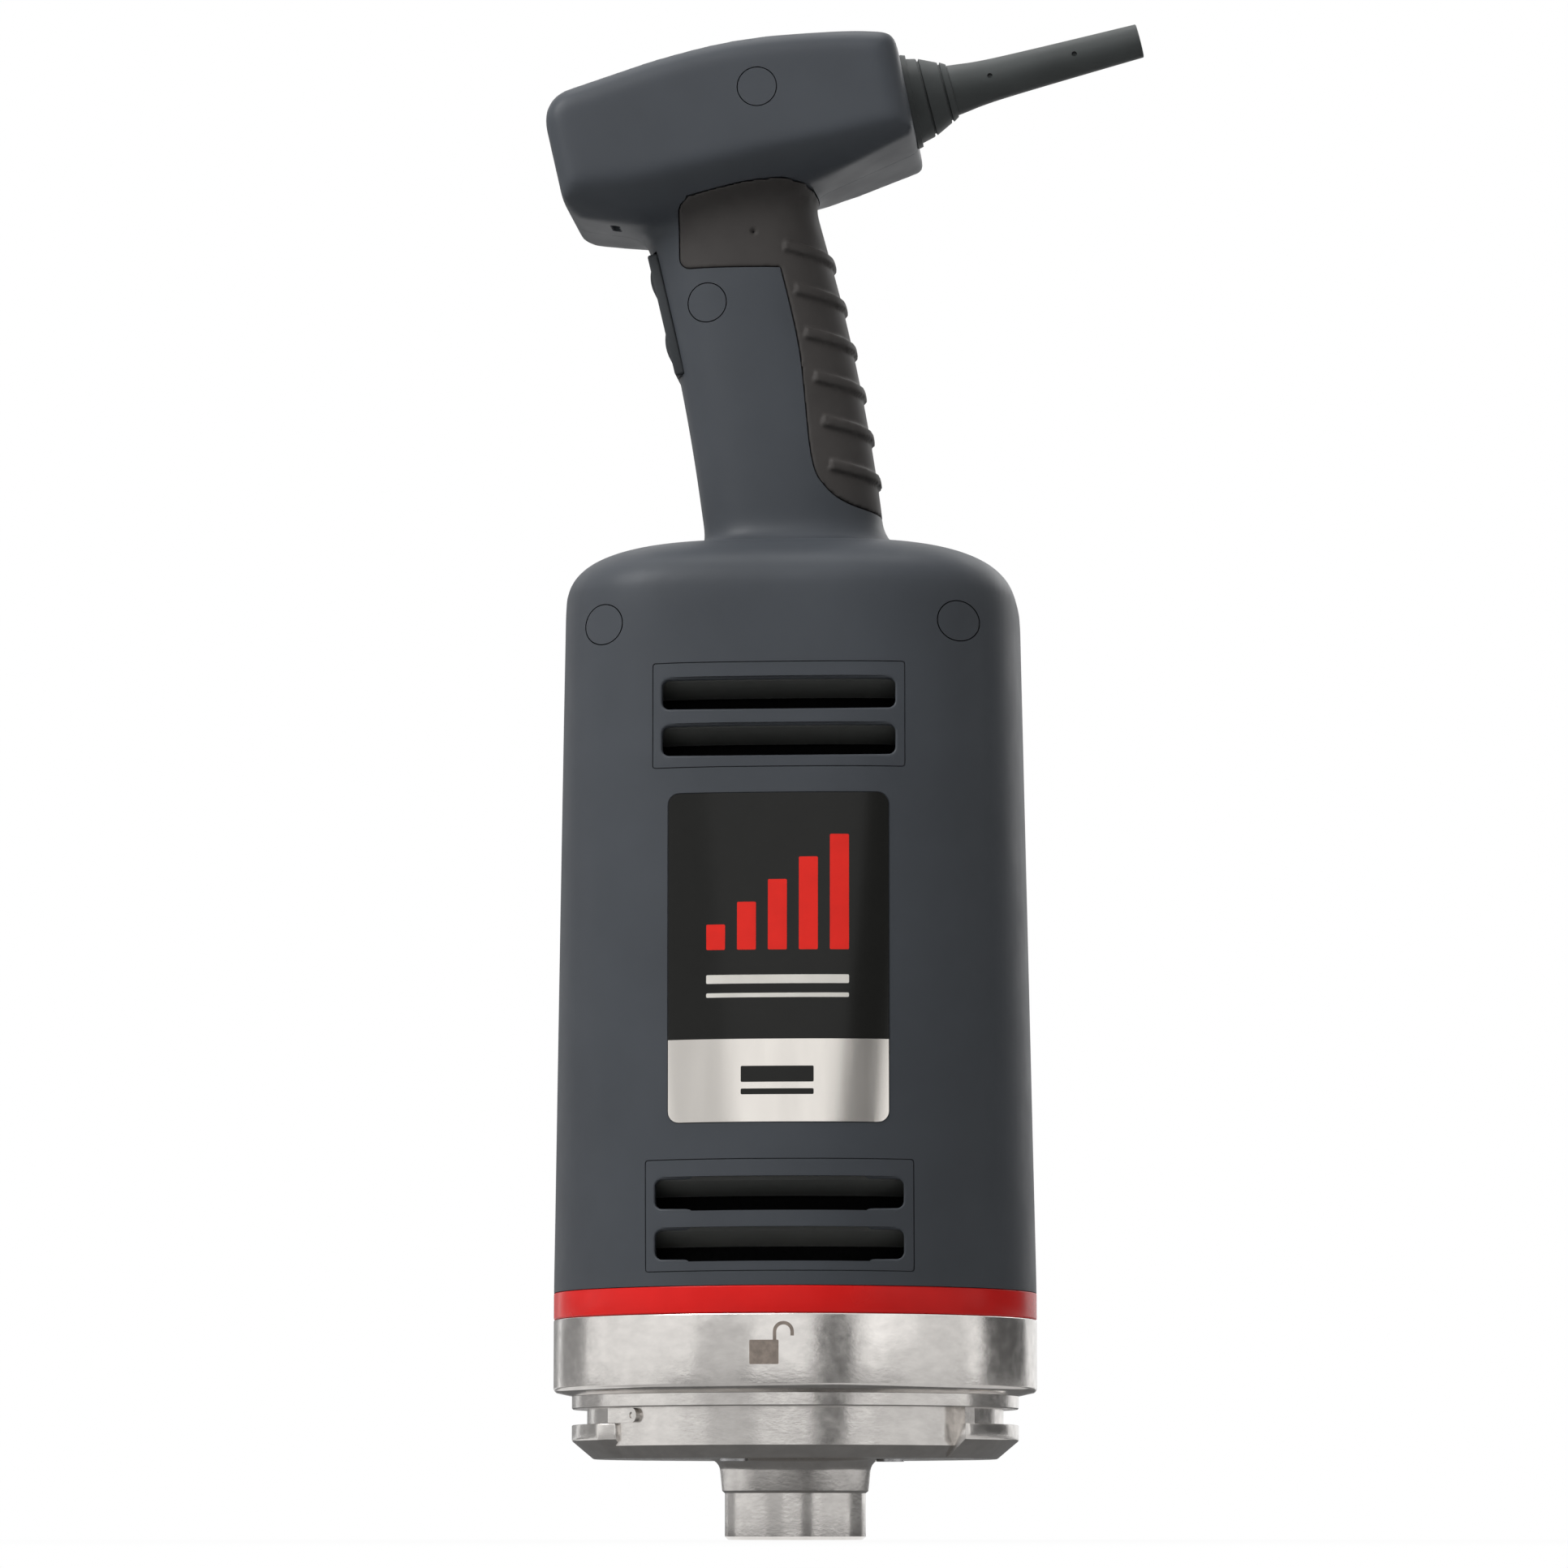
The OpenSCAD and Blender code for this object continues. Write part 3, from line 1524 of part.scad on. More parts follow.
module armature_core() {
    color("#85878a")
        difference() {
            ring(armature_r, shaft_r, stator_z, stator_l);
            around(armature_slots, armature_slot_circle)
                union() {
                    translate([0, 0, stator_z - over])
                        cylinder(r = armature_slot_r, h = stator_l + 2 * over);
                    translate([0, -0.8, stator_z - over])
                        cube([8, 1.6, stator_l + 2 * over]);
                }
        }
}

module armature_windings() {
    end_h = 8;
    color("#b4642a")
        union() {
            for (z = [stator_z - end_h - 0.1, stator_top_z + 0.1])
                ring(armature_slot_circle + bar_r + 0.8, shaft_r, z, end_h);
            around(armature_slots, armature_slot_circle)
                translate([0, 0, stator_z - over])
                    cylinder(r = bar_r, h = stator_l + 2 * over);
        }
}

module commutator() {
    color("#b87333")
        difference() {
            union() {
                ring(commutator_r, shaft_r, commutator_z, commutator_h);
                ring(commutator_r + 1.5, shaft_r, commutator_z - 3, 3);
            }
            for (i = [0:commutator_bars - 1])
                rotate([0, 0, 360 * (i + 0.5) / commutator_bars])
                    translate([commutator_r - 1.2, -0.25, commutator_z])
                        cube([4, 0.5, commutator_h + over]);
        }
}

front_shell();
back_shell();
grip_pad();
button_bezel();
screw_plugs();
housing_screws();
label_film();
label_foil();
trim_ring();
base_ring();
coupling_flange();
flange_screws();
base_seal();
shaft_seal();
motor_bell();
bell_screws();
lower_bearing_outer();
upper_bearing_outer();
bearing_balls();
upper_bracket();
through_bolts();
stator_core();
field_windings();
air_baffle();
brush_plate();
brush_holders();
carbon_brushes();
brush_springs();
board_carrier();
control_board();
heat_sink();
filter_capacitor();
terminal_block();
switch_carrier();
start_switch();
lock_switch();
cord_clamp();
clamp_screws();
strain_relief();
motor_leads();
motor_shaft();
drive_dog();
dog_pin();
lower_bearing_inner();
upper_bearing_inner();
cooling_fan();
armature_core();
armature_windings();
commutator();
start_trigger();
trigger_spring();
lock_button();
lock_spring();
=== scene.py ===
"""Looks of a stick blender's motor unit, modelled around its construction model."""

import json
import math

import bpy
from bpy.props import FloatProperty, FloatVectorProperty, PointerProperty
from mathutils import Matrix, Vector


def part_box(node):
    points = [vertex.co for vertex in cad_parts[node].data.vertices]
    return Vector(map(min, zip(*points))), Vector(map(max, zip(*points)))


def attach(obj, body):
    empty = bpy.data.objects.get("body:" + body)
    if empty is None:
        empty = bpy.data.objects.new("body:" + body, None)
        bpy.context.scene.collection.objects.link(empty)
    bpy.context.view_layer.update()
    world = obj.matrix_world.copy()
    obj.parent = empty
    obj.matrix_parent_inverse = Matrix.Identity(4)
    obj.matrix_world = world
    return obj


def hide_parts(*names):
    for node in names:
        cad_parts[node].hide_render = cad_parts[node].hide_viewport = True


bl_info = {
    "name": "Stick blender motor unit",
    "version": (1, 0, 0),
    "blender": (4, 5, 0),
    "location": "3D View > Sidebar > Motor unit",
    "description": "Models the outer pieces of a stick blender's motor unit and finishes its inner ones",
    "category": "Object",
}

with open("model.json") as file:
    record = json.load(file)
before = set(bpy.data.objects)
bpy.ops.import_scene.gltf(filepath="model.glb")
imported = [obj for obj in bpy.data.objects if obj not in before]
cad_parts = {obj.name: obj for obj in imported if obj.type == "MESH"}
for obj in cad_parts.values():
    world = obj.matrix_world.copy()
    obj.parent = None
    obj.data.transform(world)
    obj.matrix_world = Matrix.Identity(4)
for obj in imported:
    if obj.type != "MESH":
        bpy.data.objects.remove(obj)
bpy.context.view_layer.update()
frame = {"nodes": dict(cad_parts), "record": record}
MM = 0.001
FAR = 80 * MM  # farther out than any side of the unit
FOOT_RISE = 32.5 * MM  # from the shoulder to the grip's foot
UNDER_DROP = 3.6 * MM  # from the head's base line to its underside at the grip
BUTTONS_DROP = 19.4 * MM  # from the underside to the middle of the buttons
GUARD_RISE = 40 * MM  # from the head's base line to the cord guard
GUARD_X = 32.3 * MM  # from the drive axis to the guard's seat
GRIP_TOP = 18.4 * MM  # how far the grip runs up into the head
GRIP_POWER = 2.7  # squareness of the grip's outline
FORM = "outer_form_mesh"
BAND_LOW, BAND_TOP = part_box("trim_ring")
SKIRT_LOW, SKIRT_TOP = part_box("base_ring")
FILM_LOW, FILM_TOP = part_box("label_film")
FOIL_LOW, FOIL_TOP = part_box("label_foil")


# ---------- sizes and colours ----------

def length(name, description, default, **more):
    """A length that a user may change."""
    return FloatProperty(name=name, description=description, default=default, unit="LENGTH",
                         subtype="DISTANCE", precision=4, **more)


def colour(name, description, default):
    """A linear colour that a user may change."""
    return FloatVectorProperty(name=name, description=description, default=default,
                               subtype="COLOR", size=3, min=0, max=1)


class HousingSizes(bpy.types.PropertyGroup):
    """Sizes of the motor housing."""
    radius: length("Radius", "Radius of the housing's round lower end", BAND_TOP.x)
    base_z: length("Base height", "Height of the housing's lower edge", BAND_TOP.z)
    height: length("Height", "Height from the lower edge to the shoulder", 190.2 * MM)
    taper: length("Taper", "How much narrower the shoulder is, each side", 4.2 * MM)
    power: FloatProperty(name="Squareness", description="Power of the shoulder's outline",
                         default=3.4, min=2, max=5)
    dome: length("Dome height", "Height of the rounded shoulder", 21.3 * MM)
    dome_power: FloatProperty(name="Dome squareness", description="Power of the shoulder's round",
                              default=2.9, min=2, max=4)
    wall: length("Wall", "Thickness of the housing's wall", 3 * MM)
    seam: length("Seam", "Gap between the two shells", 0.16 * MM)
    detail: length("Detail", "Size of the form's faces", 1.25 * MM)


class HandleSizes(bpy.types.PropertyGroup):
    """Sizes of the grip and the head."""
    depth: length("Grip depth", "Depth of the grip, front to back", 51.3 * MM)
    width: length("Grip width", "Width of the grip", 40 * MM)
    hand_space: length("Hand space", "Distance from the shoulder to the head", 90.8 * MM)
    front: length("Grip front", "Distance from the drive axis to the grip's front", 26.6 * MM)
    slope: FloatProperty(name="Slope", description="Slope of the grip at its foot", default=0.131)
    bow: FloatProperty(name="Bow", description="Bow of the grip, per metre", default=0.9)
    half_w: length("Head half width", "Half the width of the head", 32 * MM)
    under_half_w: length("Underside half width", "Half the width of the head's underside", 25 * MM)
    edge: length("Head edge", "Radius of the head's upper edges", 6 * MM)
    pad_t: length("Pad thickness", "Thickness of the rubber pad", 1.5 * MM)
    rib_rise: length("Rib rise", "Height of the pad's ribs", 1.25 * MM)
    rib_pitch: length("Rib pitch", "Distance between two ribs", 12.7 * MM)
    rib_w: length("Rib width", "Width of one rib", 2.8 * MM)
    cap_r: length("Cap radius", "Radius of the caps over the closing screws", 5.45 * MM)


class VentSizes(bpy.types.PropertyGroup):
    """Sizes of the air slots."""
    upper_half_w: length("Upper half width", "Half the width of an upper slot", 32.2 * MM)
    upper_h: length("Upper height", "Height of an upper slot", 8.2 * MM)
    upper_pitch: length("Upper pitch", "Distance between the upper slots", 12.9 * MM)
    upper_drop: length("Upper drop", "Distance from the shoulder to the upper slots", 34 * MM)
    lower_half_w: length("Lower half width", "Half the width of a lower slot", 34.1 * MM)
    lower_h: length("Lower height", "Height of a lower slot", 8 * MM)
    lower_pitch: length("Lower pitch", "Distance between the lower slots", 13.8 * MM)
    lower_rise: length("Lower rise", "Distance from the lower edge to the lower slots", 18.1 * MM)
    corner: length("Corner", "Radius of a slot's corners", 2 * MM)
    edge: length("Edge", "Radius of a slot's edge", 0.7 * MM)


class GuardSizes(bpy.types.PropertyGroup):
    """Sizes of the cord guard."""
    flange_r: length("Flange radius", "Radius of the guard's flange", 13.8 * MM)
    reach: length("Reach", "Length of the guard outside the head", 69.1 * MM)
    tip_r: length("Tip radius", "Radius of the tube at its end", 4.9 * MM)
    bore_r: length("Bore radius", "Radius of the hole for the cord", 4 * MM)
    tilt: FloatProperty(name="Tilt", description="Lean of the flange",
                        default=math.radians(11.2), subtype="ANGLE")
    rise: FloatProperty(name="Rise", description="Rise of the tube",
                        default=math.radians(14.2), subtype="ANGLE")


class CastingSizes(bpy.types.PropertyGroup):
    """Sizes of the bayonet casting."""
    nose_r: length("Nose radius", "Radius of the nose", 19.8 * MM)
    root_r: length("Root radius", "Radius of the nose where it meets the flange", 21.2 * MM)
    fillet_r: length("Fillet", "Radius of the corner between nose and flange", 3.3 * MM)
    flange_z: length("Flange height", "Height of the flange's lower face", 22.5 * MM)
    lug_h: length("Lug height", "Height of the bayonet lugs", 9.5 * MM)
    groove_h: length("Groove height", "Height of the locking groove", 4.4 * MM)
    groove_depth: length("Groove depth", "Depth of the locking groove", 4.3 * MM)
    lug_setback: length("Setback", "How far the lugs stay inside the skirt", 5.2 * MM)
    lug_angle: FloatProperty(name="Lug angle", description="Angle that one lug covers",
                             default=math.radians(75), subtype="ANGLE")


class Finishes(bpy.types.PropertyGroup):
    """Colours of the outer pieces."""
    housing: colour("Housing", "Slate grey plastic", (0.053, 0.059, 0.068))
    pad: colour("Pad", "Brown black rubber", (0.046, 0.042, 0.040))
    controls: colour("Buttons", "Dark grey rubber", (0.040, 0.044, 0.048))
    guard: colour("Guard", "Grey rubber", (0.052, 0.057, 0.057))
    band: colour("Band", "Red plastic", (0.72, 0.016, 0.014))
    film: colour("Film", "Black film", (0.012, 0.012, 0.011))
    foil: colour("Foil", "Silver film", (0.84, 0.80, 0.75))
    print_pale: colour("Pale print", "Warm white ink", (0.72, 0.70, 0.65))
    print_red: colour("Red print", "Red ink", (0.78, 0.022, 0.014))
    casting: colour("Casting", "Polished light metal", (0.74, 0.71, 0.68))


class StageSettings(bpy.types.PropertyGroup):
    """Camera and lights."""
    azimuth: FloatProperty(name="Azimuth", description="Camera's turn round the unit",
                           default=math.radians(4.35), subtype="ANGLE")
    elevation: FloatProperty(name="Elevation", description="Camera's height over the horizon",
                             default=math.radians(-6.7), subtype="ANGLE")
    distance: length("Distance", "Distance from the camera to the unit", 1.8)
    lens: FloatProperty(name="Lens", description="Focal length in millimetres", default=145.0)
    light: FloatProperty(name="Light", description="Strength of the lamps", default=1.0, min=0)


GROUPS = {"unit_housing": HousingSizes, "unit_handle": HandleSizes, "unit_vents": VentSizes,
          "unit_guard": GuardSizes, "unit_casting": CastingSizes, "unit_finishes": Finishes,
          "unit_stage": StageSettings}


def sizes(name):
    """The group of sizes with this name."""
    return getattr(bpy.context.scene, "unit_" + name)


# ---------- modelling by hand ----------

def alone(piece):
    """Makes the piece the only selected and active one."""
    bpy.ops.object.select_all(action="DESELECT")
    piece.select_set(True)
    bpy.context.view_layer.objects.active = piece
    return piece


def edit(piece, *steps):
    """Runs steps in edit mode with all of the piece selected."""
    alone(piece)
    bpy.ops.object.mode_set(mode="EDIT")
    bpy.ops.mesh.select_all(action="SELECT")
    for step in steps:
        step()
    bpy.ops.object.mode_set(mode="OBJECT")
    return piece


def outward():
    """Turns all faces outwards."""
    bpy.ops.mesh.select_all(action="SELECT")
    bpy.ops.mesh.normals_make_consistent(inside=False)


def weld():
    """Merges corners that lie on each other."""
    bpy.ops.mesh.select_all(action="SELECT")
    bpy.ops.mesh.remove_doubles(threshold=1e-6)


def fresh(name, primitive, **values):
    """Adds a primitive with nothing else selected."""
    bpy.ops.object.select_all(action="DESELECT")
    primitive(**values)
    piece = bpy.context.object
    piece.name = piece.data.name = name
    return piece


def outline(name, points, fill="NGON"):
    """A flat face, or a loop, with its corners at the points."""
    piece = fresh(name, bpy.ops.mesh.primitive_circle_add, vertices=len(points), fill_type=fill)
    for vertex, point in zip(piece.data.vertices, points):
        vertex.co = point
    return piece


def prism(name, points, way):
    """The outline pulled out along a way."""
    def pull():
        bpy.ops.mesh.extrude_region_move(TRANSFORM_OT_translate={"value": way})
    return edit(outline(name, points), pull, outward)


def loft(name, rings, open_ends=False):
    """A closed form through rings that have as many points each."""
    points = [p for ring in rings for p in (*ring, ring[0])]
    piece = fresh(name, bpy.ops.mesh.primitive_grid_add, x_subdivisions=len(rings[0]),
                  y_subdivisions=len(rings) - 1)
    if len(piece.data.vertices) != len(points):
        raise RuntimeError(f"{name}: {len(points)} points for {len(piece.data.vertices)} vertices")
    piece.data.vertices.foreach_set("co", [c for p in points for c in p])
    caps = [] if open_ends else [lambda: bpy.ops.mesh.fill_holes(sides=0)]
    return edit(piece, weld, *caps, outward)


def polar(radius, turn, z):
    """A point at a radius and a height in mm, turned round Z."""
    return (radius * MM * math.cos(turn), radius * MM * math.sin(turn), z * MM)


def lathe(name, profile, steps=192):
    """A closed profile of (radius, height) pairs in mm spun round Z."""
    rings = [[polar(r, math.tau * i / steps, z) for r, z in profile] for i in range(steps)]
    piece = loft(name, rings + rings[:1], open_ends=True)
    if min(r for r, z in profile) == 0:
        edit(piece, lambda: bpy.ops.mesh.dissolve_degenerate(threshold=1e-7), weld, outward)
    return piece


def hull(name, points):
    """The convex form round the points."""
    piece = outline(name, points, fill="NOTHING")
    return edit(piece, lambda: bpy.ops.mesh.convex_hull(delete_unused=True), outward)


def block(name, low, high):
    """A box in mm from its lowest to its highest corner."""
    x0, y0, z0 = (v * MM for v in low)
    x1, y1, z1 = (v * MM for v in high)
    return prism(name, [(x0, y0, z0), (x1, y0, z0), (x1, y1, z0), (x0, y1, z0)], (0, 0, z1 - z0))


def rod(name, radius, z0, z1, steps=48, top=None):
    """A round bar or cone along Z, in mm."""
    top = radius if top is None else top
    return loft(name, [[polar(r, math.tau * i / steps, z) for i in range(steps)]
                       for r, z in ((radius, z0), (top, z1))])


def move(piece, matrix):
    """Moves the mesh, so that the object stays at the origin."""
    piece.data.transform(matrix)
    return piece


def apply(piece, kind, **settings):
    """Adds a modifier and applies it."""
    alone(piece)
    modifier = piece.modifiers.new(kind.title(), kind)
    for key, value in settings.items():
        setattr(modifier, key, value)
    bpy.ops.object.modifier_apply(modifier=modifier.name)
    return piece


def bevel(piece, width, segments, angle):
    """Rounds the edges that are sharper than the angle by a width in mm."""
    return apply(piece, "BEVEL", width=width * MM, segments=segments, limit_method="ANGLE",
                 angle_limit=math.radians(angle))


def melt(piece, detail, rounds):
    """Gives the piece small even faces and softens its edges."""
    apply(piece, "REMESH", mode="VOXEL", voxel_size=detail, use_smooth_shade=True)
    return apply(piece, "SMOOTH", factor=0.5, iterations=rounds)


def clip(piece, place, way):
    """Cuts the piece flat at the place, closes it, and keeps the side that the way points to."""
    def cut():
        bpy.ops.mesh.bisect(plane_co=place, plane_no=way, use_fill=True, clear_inner=True)
    return edit(piece, cut, outward)


def drop(piece):
    """Removes a piece with its mesh."""
    mesh = piece.data
    bpy.data.objects.remove(piece)
    bpy.data.meshes.remove(mesh)


def carve(piece, cutter, operation="DIFFERENCE"):
    """Cuts, joins or crosses the piece with the cutter, which is used up."""
    apply(piece, "BOOLEAN", operation=operation, solver="MANIFOLD", object=cutter)
    if not piece.data.polygons:
        raise RuntimeError(f"{piece.name} was cut away by {cutter.name}")
    drop(cutter)
    return piece


def join(piece, *others):
    """Adds the other pieces, which are used up."""
    for other in others:
        carve(piece, other, "UNION")
    return piece


def cross(piece, cutter):
    """Keeps what lies inside the cutter, which is used up."""
    return carve(piece, cutter, "INTERSECT")


def gather(name, pieces):
    """Several separate bodies as one piece."""
    alone(pieces[0])
    for piece in pieces:
        piece.select_set(True)
    bpy.ops.object.join()
    pieces[0].name = pieces[0].data.name = name
    return pieces[0]


def keep_mesh(piece, mesh_name):
    """Keeps a copy of the piece's mesh for later pieces."""
    mesh = piece.data.copy()
    mesh.name = mesh_name
    mesh.use_fake_user = True


def show(name, data):
    """Puts a new object into the scene."""
    thing = bpy.data.objects.new(name, data)
    bpy.context.scene.collection.objects.link(thing)
    return thing


def twin(name, mesh):
    """A new object with its own copy of a mesh."""
    piece = show(name, mesh.copy())
    piece.data.name = name
    return piece


def from_node(name, node):
    """A merged copy of a CAD node's mesh with its flat faces whole."""
    def whole():
        bpy.ops.mesh.dissolve_limited(angle_limit=math.radians(1))
    return edit(twin(name, frame["nodes"][node].data), weld, whole, outward)


def soften(piece, angle=38):
    """Smooth shading, with edges sharper than the angle kept."""
    alone(piece)
    bpy.ops.object.shade_smooth_by_angle(angle=math.radians(angle))
    return piece


def publish(piece, body, slot, material, *nodes):
    """Gives a finished piece its material and its body, and hides the nodes that it stands for."""
    piece.data.materials.clear()
    piece.data.materials.append(material)
    for polygon in piece.data.polygons:
        polygon.material_index = 0
    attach(piece, body)
    if nodes:
        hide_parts(*nodes)
    return piece


def rounded(half_w, half_h, corner, steps=6):
    """Corners of a rounded rectangle as (across, up) pairs."""
    pairs = []
    for start, sx, sy in ((0, 1, 1), (90, -1, 1), (180, -1, -1), (270, 1, -1)):
        for i in range(steps + 1):
            a = math.radians(start + 90 * i / steps)
            pairs.append((sx * (half_w - corner) + corner * math.cos(a),
                          sy * (half_h - corner) + corner * math.sin(a)))
    return pairs


def arc(x, z, radius, start, end, steps=6):
    """Points of a round corner, angles in degrees."""
    turns = [math.radians(start + (end - start) * i / steps) for i in range(steps + 1)]
    return [(x + radius * math.cos(t), z + radius * math.sin(t)) for t in turns]


def curve(points, steps=6):
    """A soft line through the points."""
    line = []
    for i in range(len(points) - 1):
        p = [Vector(points[max(0, min(len(points) - 1, i + k))]) for k in (-1, 0, 1, 2)]
        for j in range(steps):
            t = j / steps
            line.append(tuple(0.5 * (2 * p[1] + (p[2] - p[0]) * t
                                     + (2 * p[0] - 5 * p[1] + 4 * p[2] - p[3]) * t * t
                                     + (3 * p[1] - p[0] - 3 * p[2] + p[3]) * t ** 3)))
    return line + [tuple(points[-1])]


def offset(points, distance):
    """A closed line moved outwards by a distance."""
    count = len(points)
    area = sum(points[i - 1][0] * points[i][1] - points[i][0] * points[i - 1][1] for i in range(count))
    side = 1 if area > 0 else -1
    moved = []
    for i, (x, z) in enumerate(points):
        (xa, za), (xb, zb) = points[i - 1], points[(i + 1) % count]
        before = Vector((z - za, xa - x)).normalized()
        after = Vector((zb - z, x - xb)).normalized()
        normal = (before + after).normalized()
        reach = distance / max(0.5, normal.dot(after))
        moved.append((x + side * normal.x * reach, z + side * normal.y * reach))
    return moved


# ---------- the housing's form ----------

def levels():
    """Named heights, in metres."""
    housing, handle, vents = sizes("housing"), sizes("handle"), sizes("vents")
    shoulder = housing.base_z + housing.height
    head = shoulder + housing.dome + handle.hand_space
    under = head - UNDER_DROP
    return {"shoulder": shoulder, "top": shoulder + housing.dome, "foot": shoulder + FOOT_RISE,
            "under": under, "head": head, "buttons": under - BUTTONS_DROP,
            "guard": head + GUARD_RISE, "upper_vent": shoulder - vents.upper_drop,
            "lower_vent": housing.base_z + vents.lower_rise}


def body_power(z):
    """Squareness of the housing at a height, round at its lower edge."""
    housing = sizes("housing")
    return 2 + (housing.power - 2) * min(1, max(0, (z - housing.base_z) / housing.height))


def body_half_w(z):
    """Half the width of the housing at a height."""
    housing = sizes("housing")
    return housing.radius - housing.taper * max(0, z - housing.base_z) / housing.height


def front_y(x, z, grow=0):
    """Half depth of the housing at a place across its front."""
    a, n = body_half_w(z) + grow, body_power(z)
    return (a ** n - min(abs(x), a) ** n) ** (1 / n)


def super_ring(half_x, half_y, power, z, middle=0, steps=96):
    """A level ring between an ellipse (power 2) and a rectangle (a high power)."""
    ring = []
    for i in range(steps):
        t = math.tau * i / steps
        r = (abs(math.cos(t)) ** power + abs(math.sin(t)) ** power) ** (-1 / power)
        ring.append((middle + half_x * r * math.cos(t), half_y * r * math.sin(t), z))
    return ring


def body_form(name, grow=0, below=12 * MM, end=86, steps=128):
    """The housing's body from below its lower edge to the end angle of its dome."""
    housing, shoulder = sizes("housing"), levels()["shoulder"]
    low, rings, rows = housing.base_z - below, [], 14
    for i in range(rows + 1):
        z = low + (shoulder - low) * i / rows
        w = body_half_w(z) + grow
        rings.append(super_ring(w, w, body_power(z), z, steps=steps))
    w = body_half_w(shoulder) + grow
    for i in range(1, rows + 1):
        t = math.radians(end * i / rows)
        share = math.cos(t) ** (2 / housing.dome_power)
        z = shoulder + (housing.dome + grow) * math.sin(t) ** (2 / housing.dome_power)
        rings.append(super_ring(w * share, w * share, housing.power, z, steps=steps))
    return loft(name, rings)


def grip_front(z):
    """Place of the grip's front at a height."""
    handle = sizes("handle")
    rise = z - levels()["foot"]
    return -handle.front - handle.slope * rise - handle.bow * rise * rise


def grip_form(name, grow=0, steps=128):
    """The grip, which starts inside the body and ends inside the head."""
    handle, z, rows = sizes("handle"), levels(), 30
    low, high, rings = z["shoulder"] + 8 * MM, z["head"] + GRIP_TOP, []
    for i in range(rows + 1):
        at = low + (high - low) * i / rows
        rings.append(super_ring(handle.depth / 2 + grow, handle.width / 2 + grow, GRIP_POWER, at,
                                grip_front(at) + handle.depth / 2, steps))
    return loft(name, rings)


def foot_form(name):
    """Flare of the grip's foot towards the back."""
    handle, z, rings = sizes("handle"), levels(), []
    tall, widest, inset, steps = 9.5 * MM, 12.5 * MM, 0.2 * MM, 8
    for i in range(steps + 1):
        at = z["top"] - 2 * MM + tall * i / steps
        flare = widest * (1 - math.sqrt(1 - (1 - i / steps) ** 2))
        half_x = handle.depth / 2 + flare / 2 - inset
        half_y = handle.width / 2 + flare / 3 - inset
        middle = grip_front(at) + handle.depth / 2 + flare / 2
        rings.append(super_ring(half_x, half_y, GRIP_POWER, at, middle, 128))
    return loft(name, rings)


def head_form(name, grow=0):
    """Head of the handle: slabs of its side outline, smaller towards the sides; grow is in mm."""
    handle, low = sizes("handle"), levels()["head"] / MM
    front, back = -69.5, 35.9
    crown = curve([(-56, 40.7), (-44, 45.7), (-32, 49.2), (-20, 52), (-8, 53.8), (6, 54.8),
                   (18, 55.1), (25, 54.9)], 3)
    top = arc(front + 9.2, 30.7, 9.2, 190, 114) + crown
    top += arc(26.6, 50.4, 4.4, 84, 20, 4) + [(35.1, 29.4)]
    crease = [(back, 25.5), (-18.6, 15), (-44, 8.4), (front + 5.2, 6.8)]
    under = arc(back - 6.6, 29.4, 5.8, -4, -58, 5) + [(8.5, 13.4), (-42, 0.9), (-50, 2)]
    under += arc(front + 11.4, 10.2, 7, 262, 188, 5)
    half_w, under_w, edge = handle.half_w / MM, handle.under_half_w / MM, handle.edge / MM
    points = []

    def slab(line, half, inset):
        for x, z in offset(line, grow - inset):
            for side in (-1, 1):
                points.append((x * MM, side * (half + grow) * MM, (low + z) * MM))

    steps = 6
    for i in range(steps + 1):
        t = math.radians(90 * i / steps)
        slab(top + crease, half_w - edge * (1 - math.sin(t)), edge * (1 - math.cos(t)))
        slab(top + under, under_w - edge * (1 - math.sin(t)), edge * (1 - math.cos(t)))
    return hull(name, points)


def outer_form():
    """The whole outside, with soft corners where grip, head and body meet."""
    housing, handle, z = sizes("housing"), sizes("handle"), levels()
    form = body_form("outer_form", steps=192)
    join(form, foot_form("foot"), grip_form("grip"), head_form("head"))
    melt(form, housing.detail, 8)
    soft = form.vertex_groups.new(name="soft")
    for vertex in form.data.vertices:
        x, y, h = vertex.co
        reach_x = abs(x - grip_front(h) - handle.depth / 2) - handle.depth / 2
        near = max(reach_x, abs(y) - handle.width / 2)
        if h < z["under"] - 20 * MM:  # at the shoulder
            weight = 1 - max(abs(h - z["top"] - 1 * MM) / (12 * MM), near / (16 * MM))
        else:  # under the head
            weight = 1.4 - max(abs(h - z["under"] - 6 * MM) / (14 * MM), near / (9 * MM))
        if weight > 0:
            soft.add([vertex.index], min(1, weight), "REPLACE")
    apply(form, "SMOOTH", factor=0.5, iterations=70, vertex_group="soft")
    form.vertex_groups.clear()
    return clip(form, (0, 0, housing.base_z), (0, 0, 1))


def sunk_form(name, depth):
    """The outside moved inwards by a depth."""
    return apply(twin(name, bpy.data.meshes[FORM]), "DISPLACE", strength=-depth, mid_level=0)


def slot_rings(half_w, half_h, corner, z, side, edge, deep):
    """Rings of a cutter that leaves a round edge on the housing's front or back."""
    rings = []

    def ring(spread, sink):
        return [(x, side * (front_y(x, z + up) - sink), z + up)
                for x, up in rounded(half_w + spread, half_h + spread, corner + spread)]

    flat = rounded(half_w + edge, half_h + edge, corner + edge)
    rings.append([(x, side * FAR, z + up) for x, up in flat])
    rings.append(ring(edge, -0.4 * MM))
    steps = 4
    for i in range(steps + 1):
        t = math.radians(90 * i / steps)
        rings.append(ring(edge * (1 - math.sin(t)), edge * (1 - math.cos(t))))
    straight = rounded(half_w, half_h, corner)
    rings.append([(x, side * deep, z + up) for x, up in straight])
    return rings


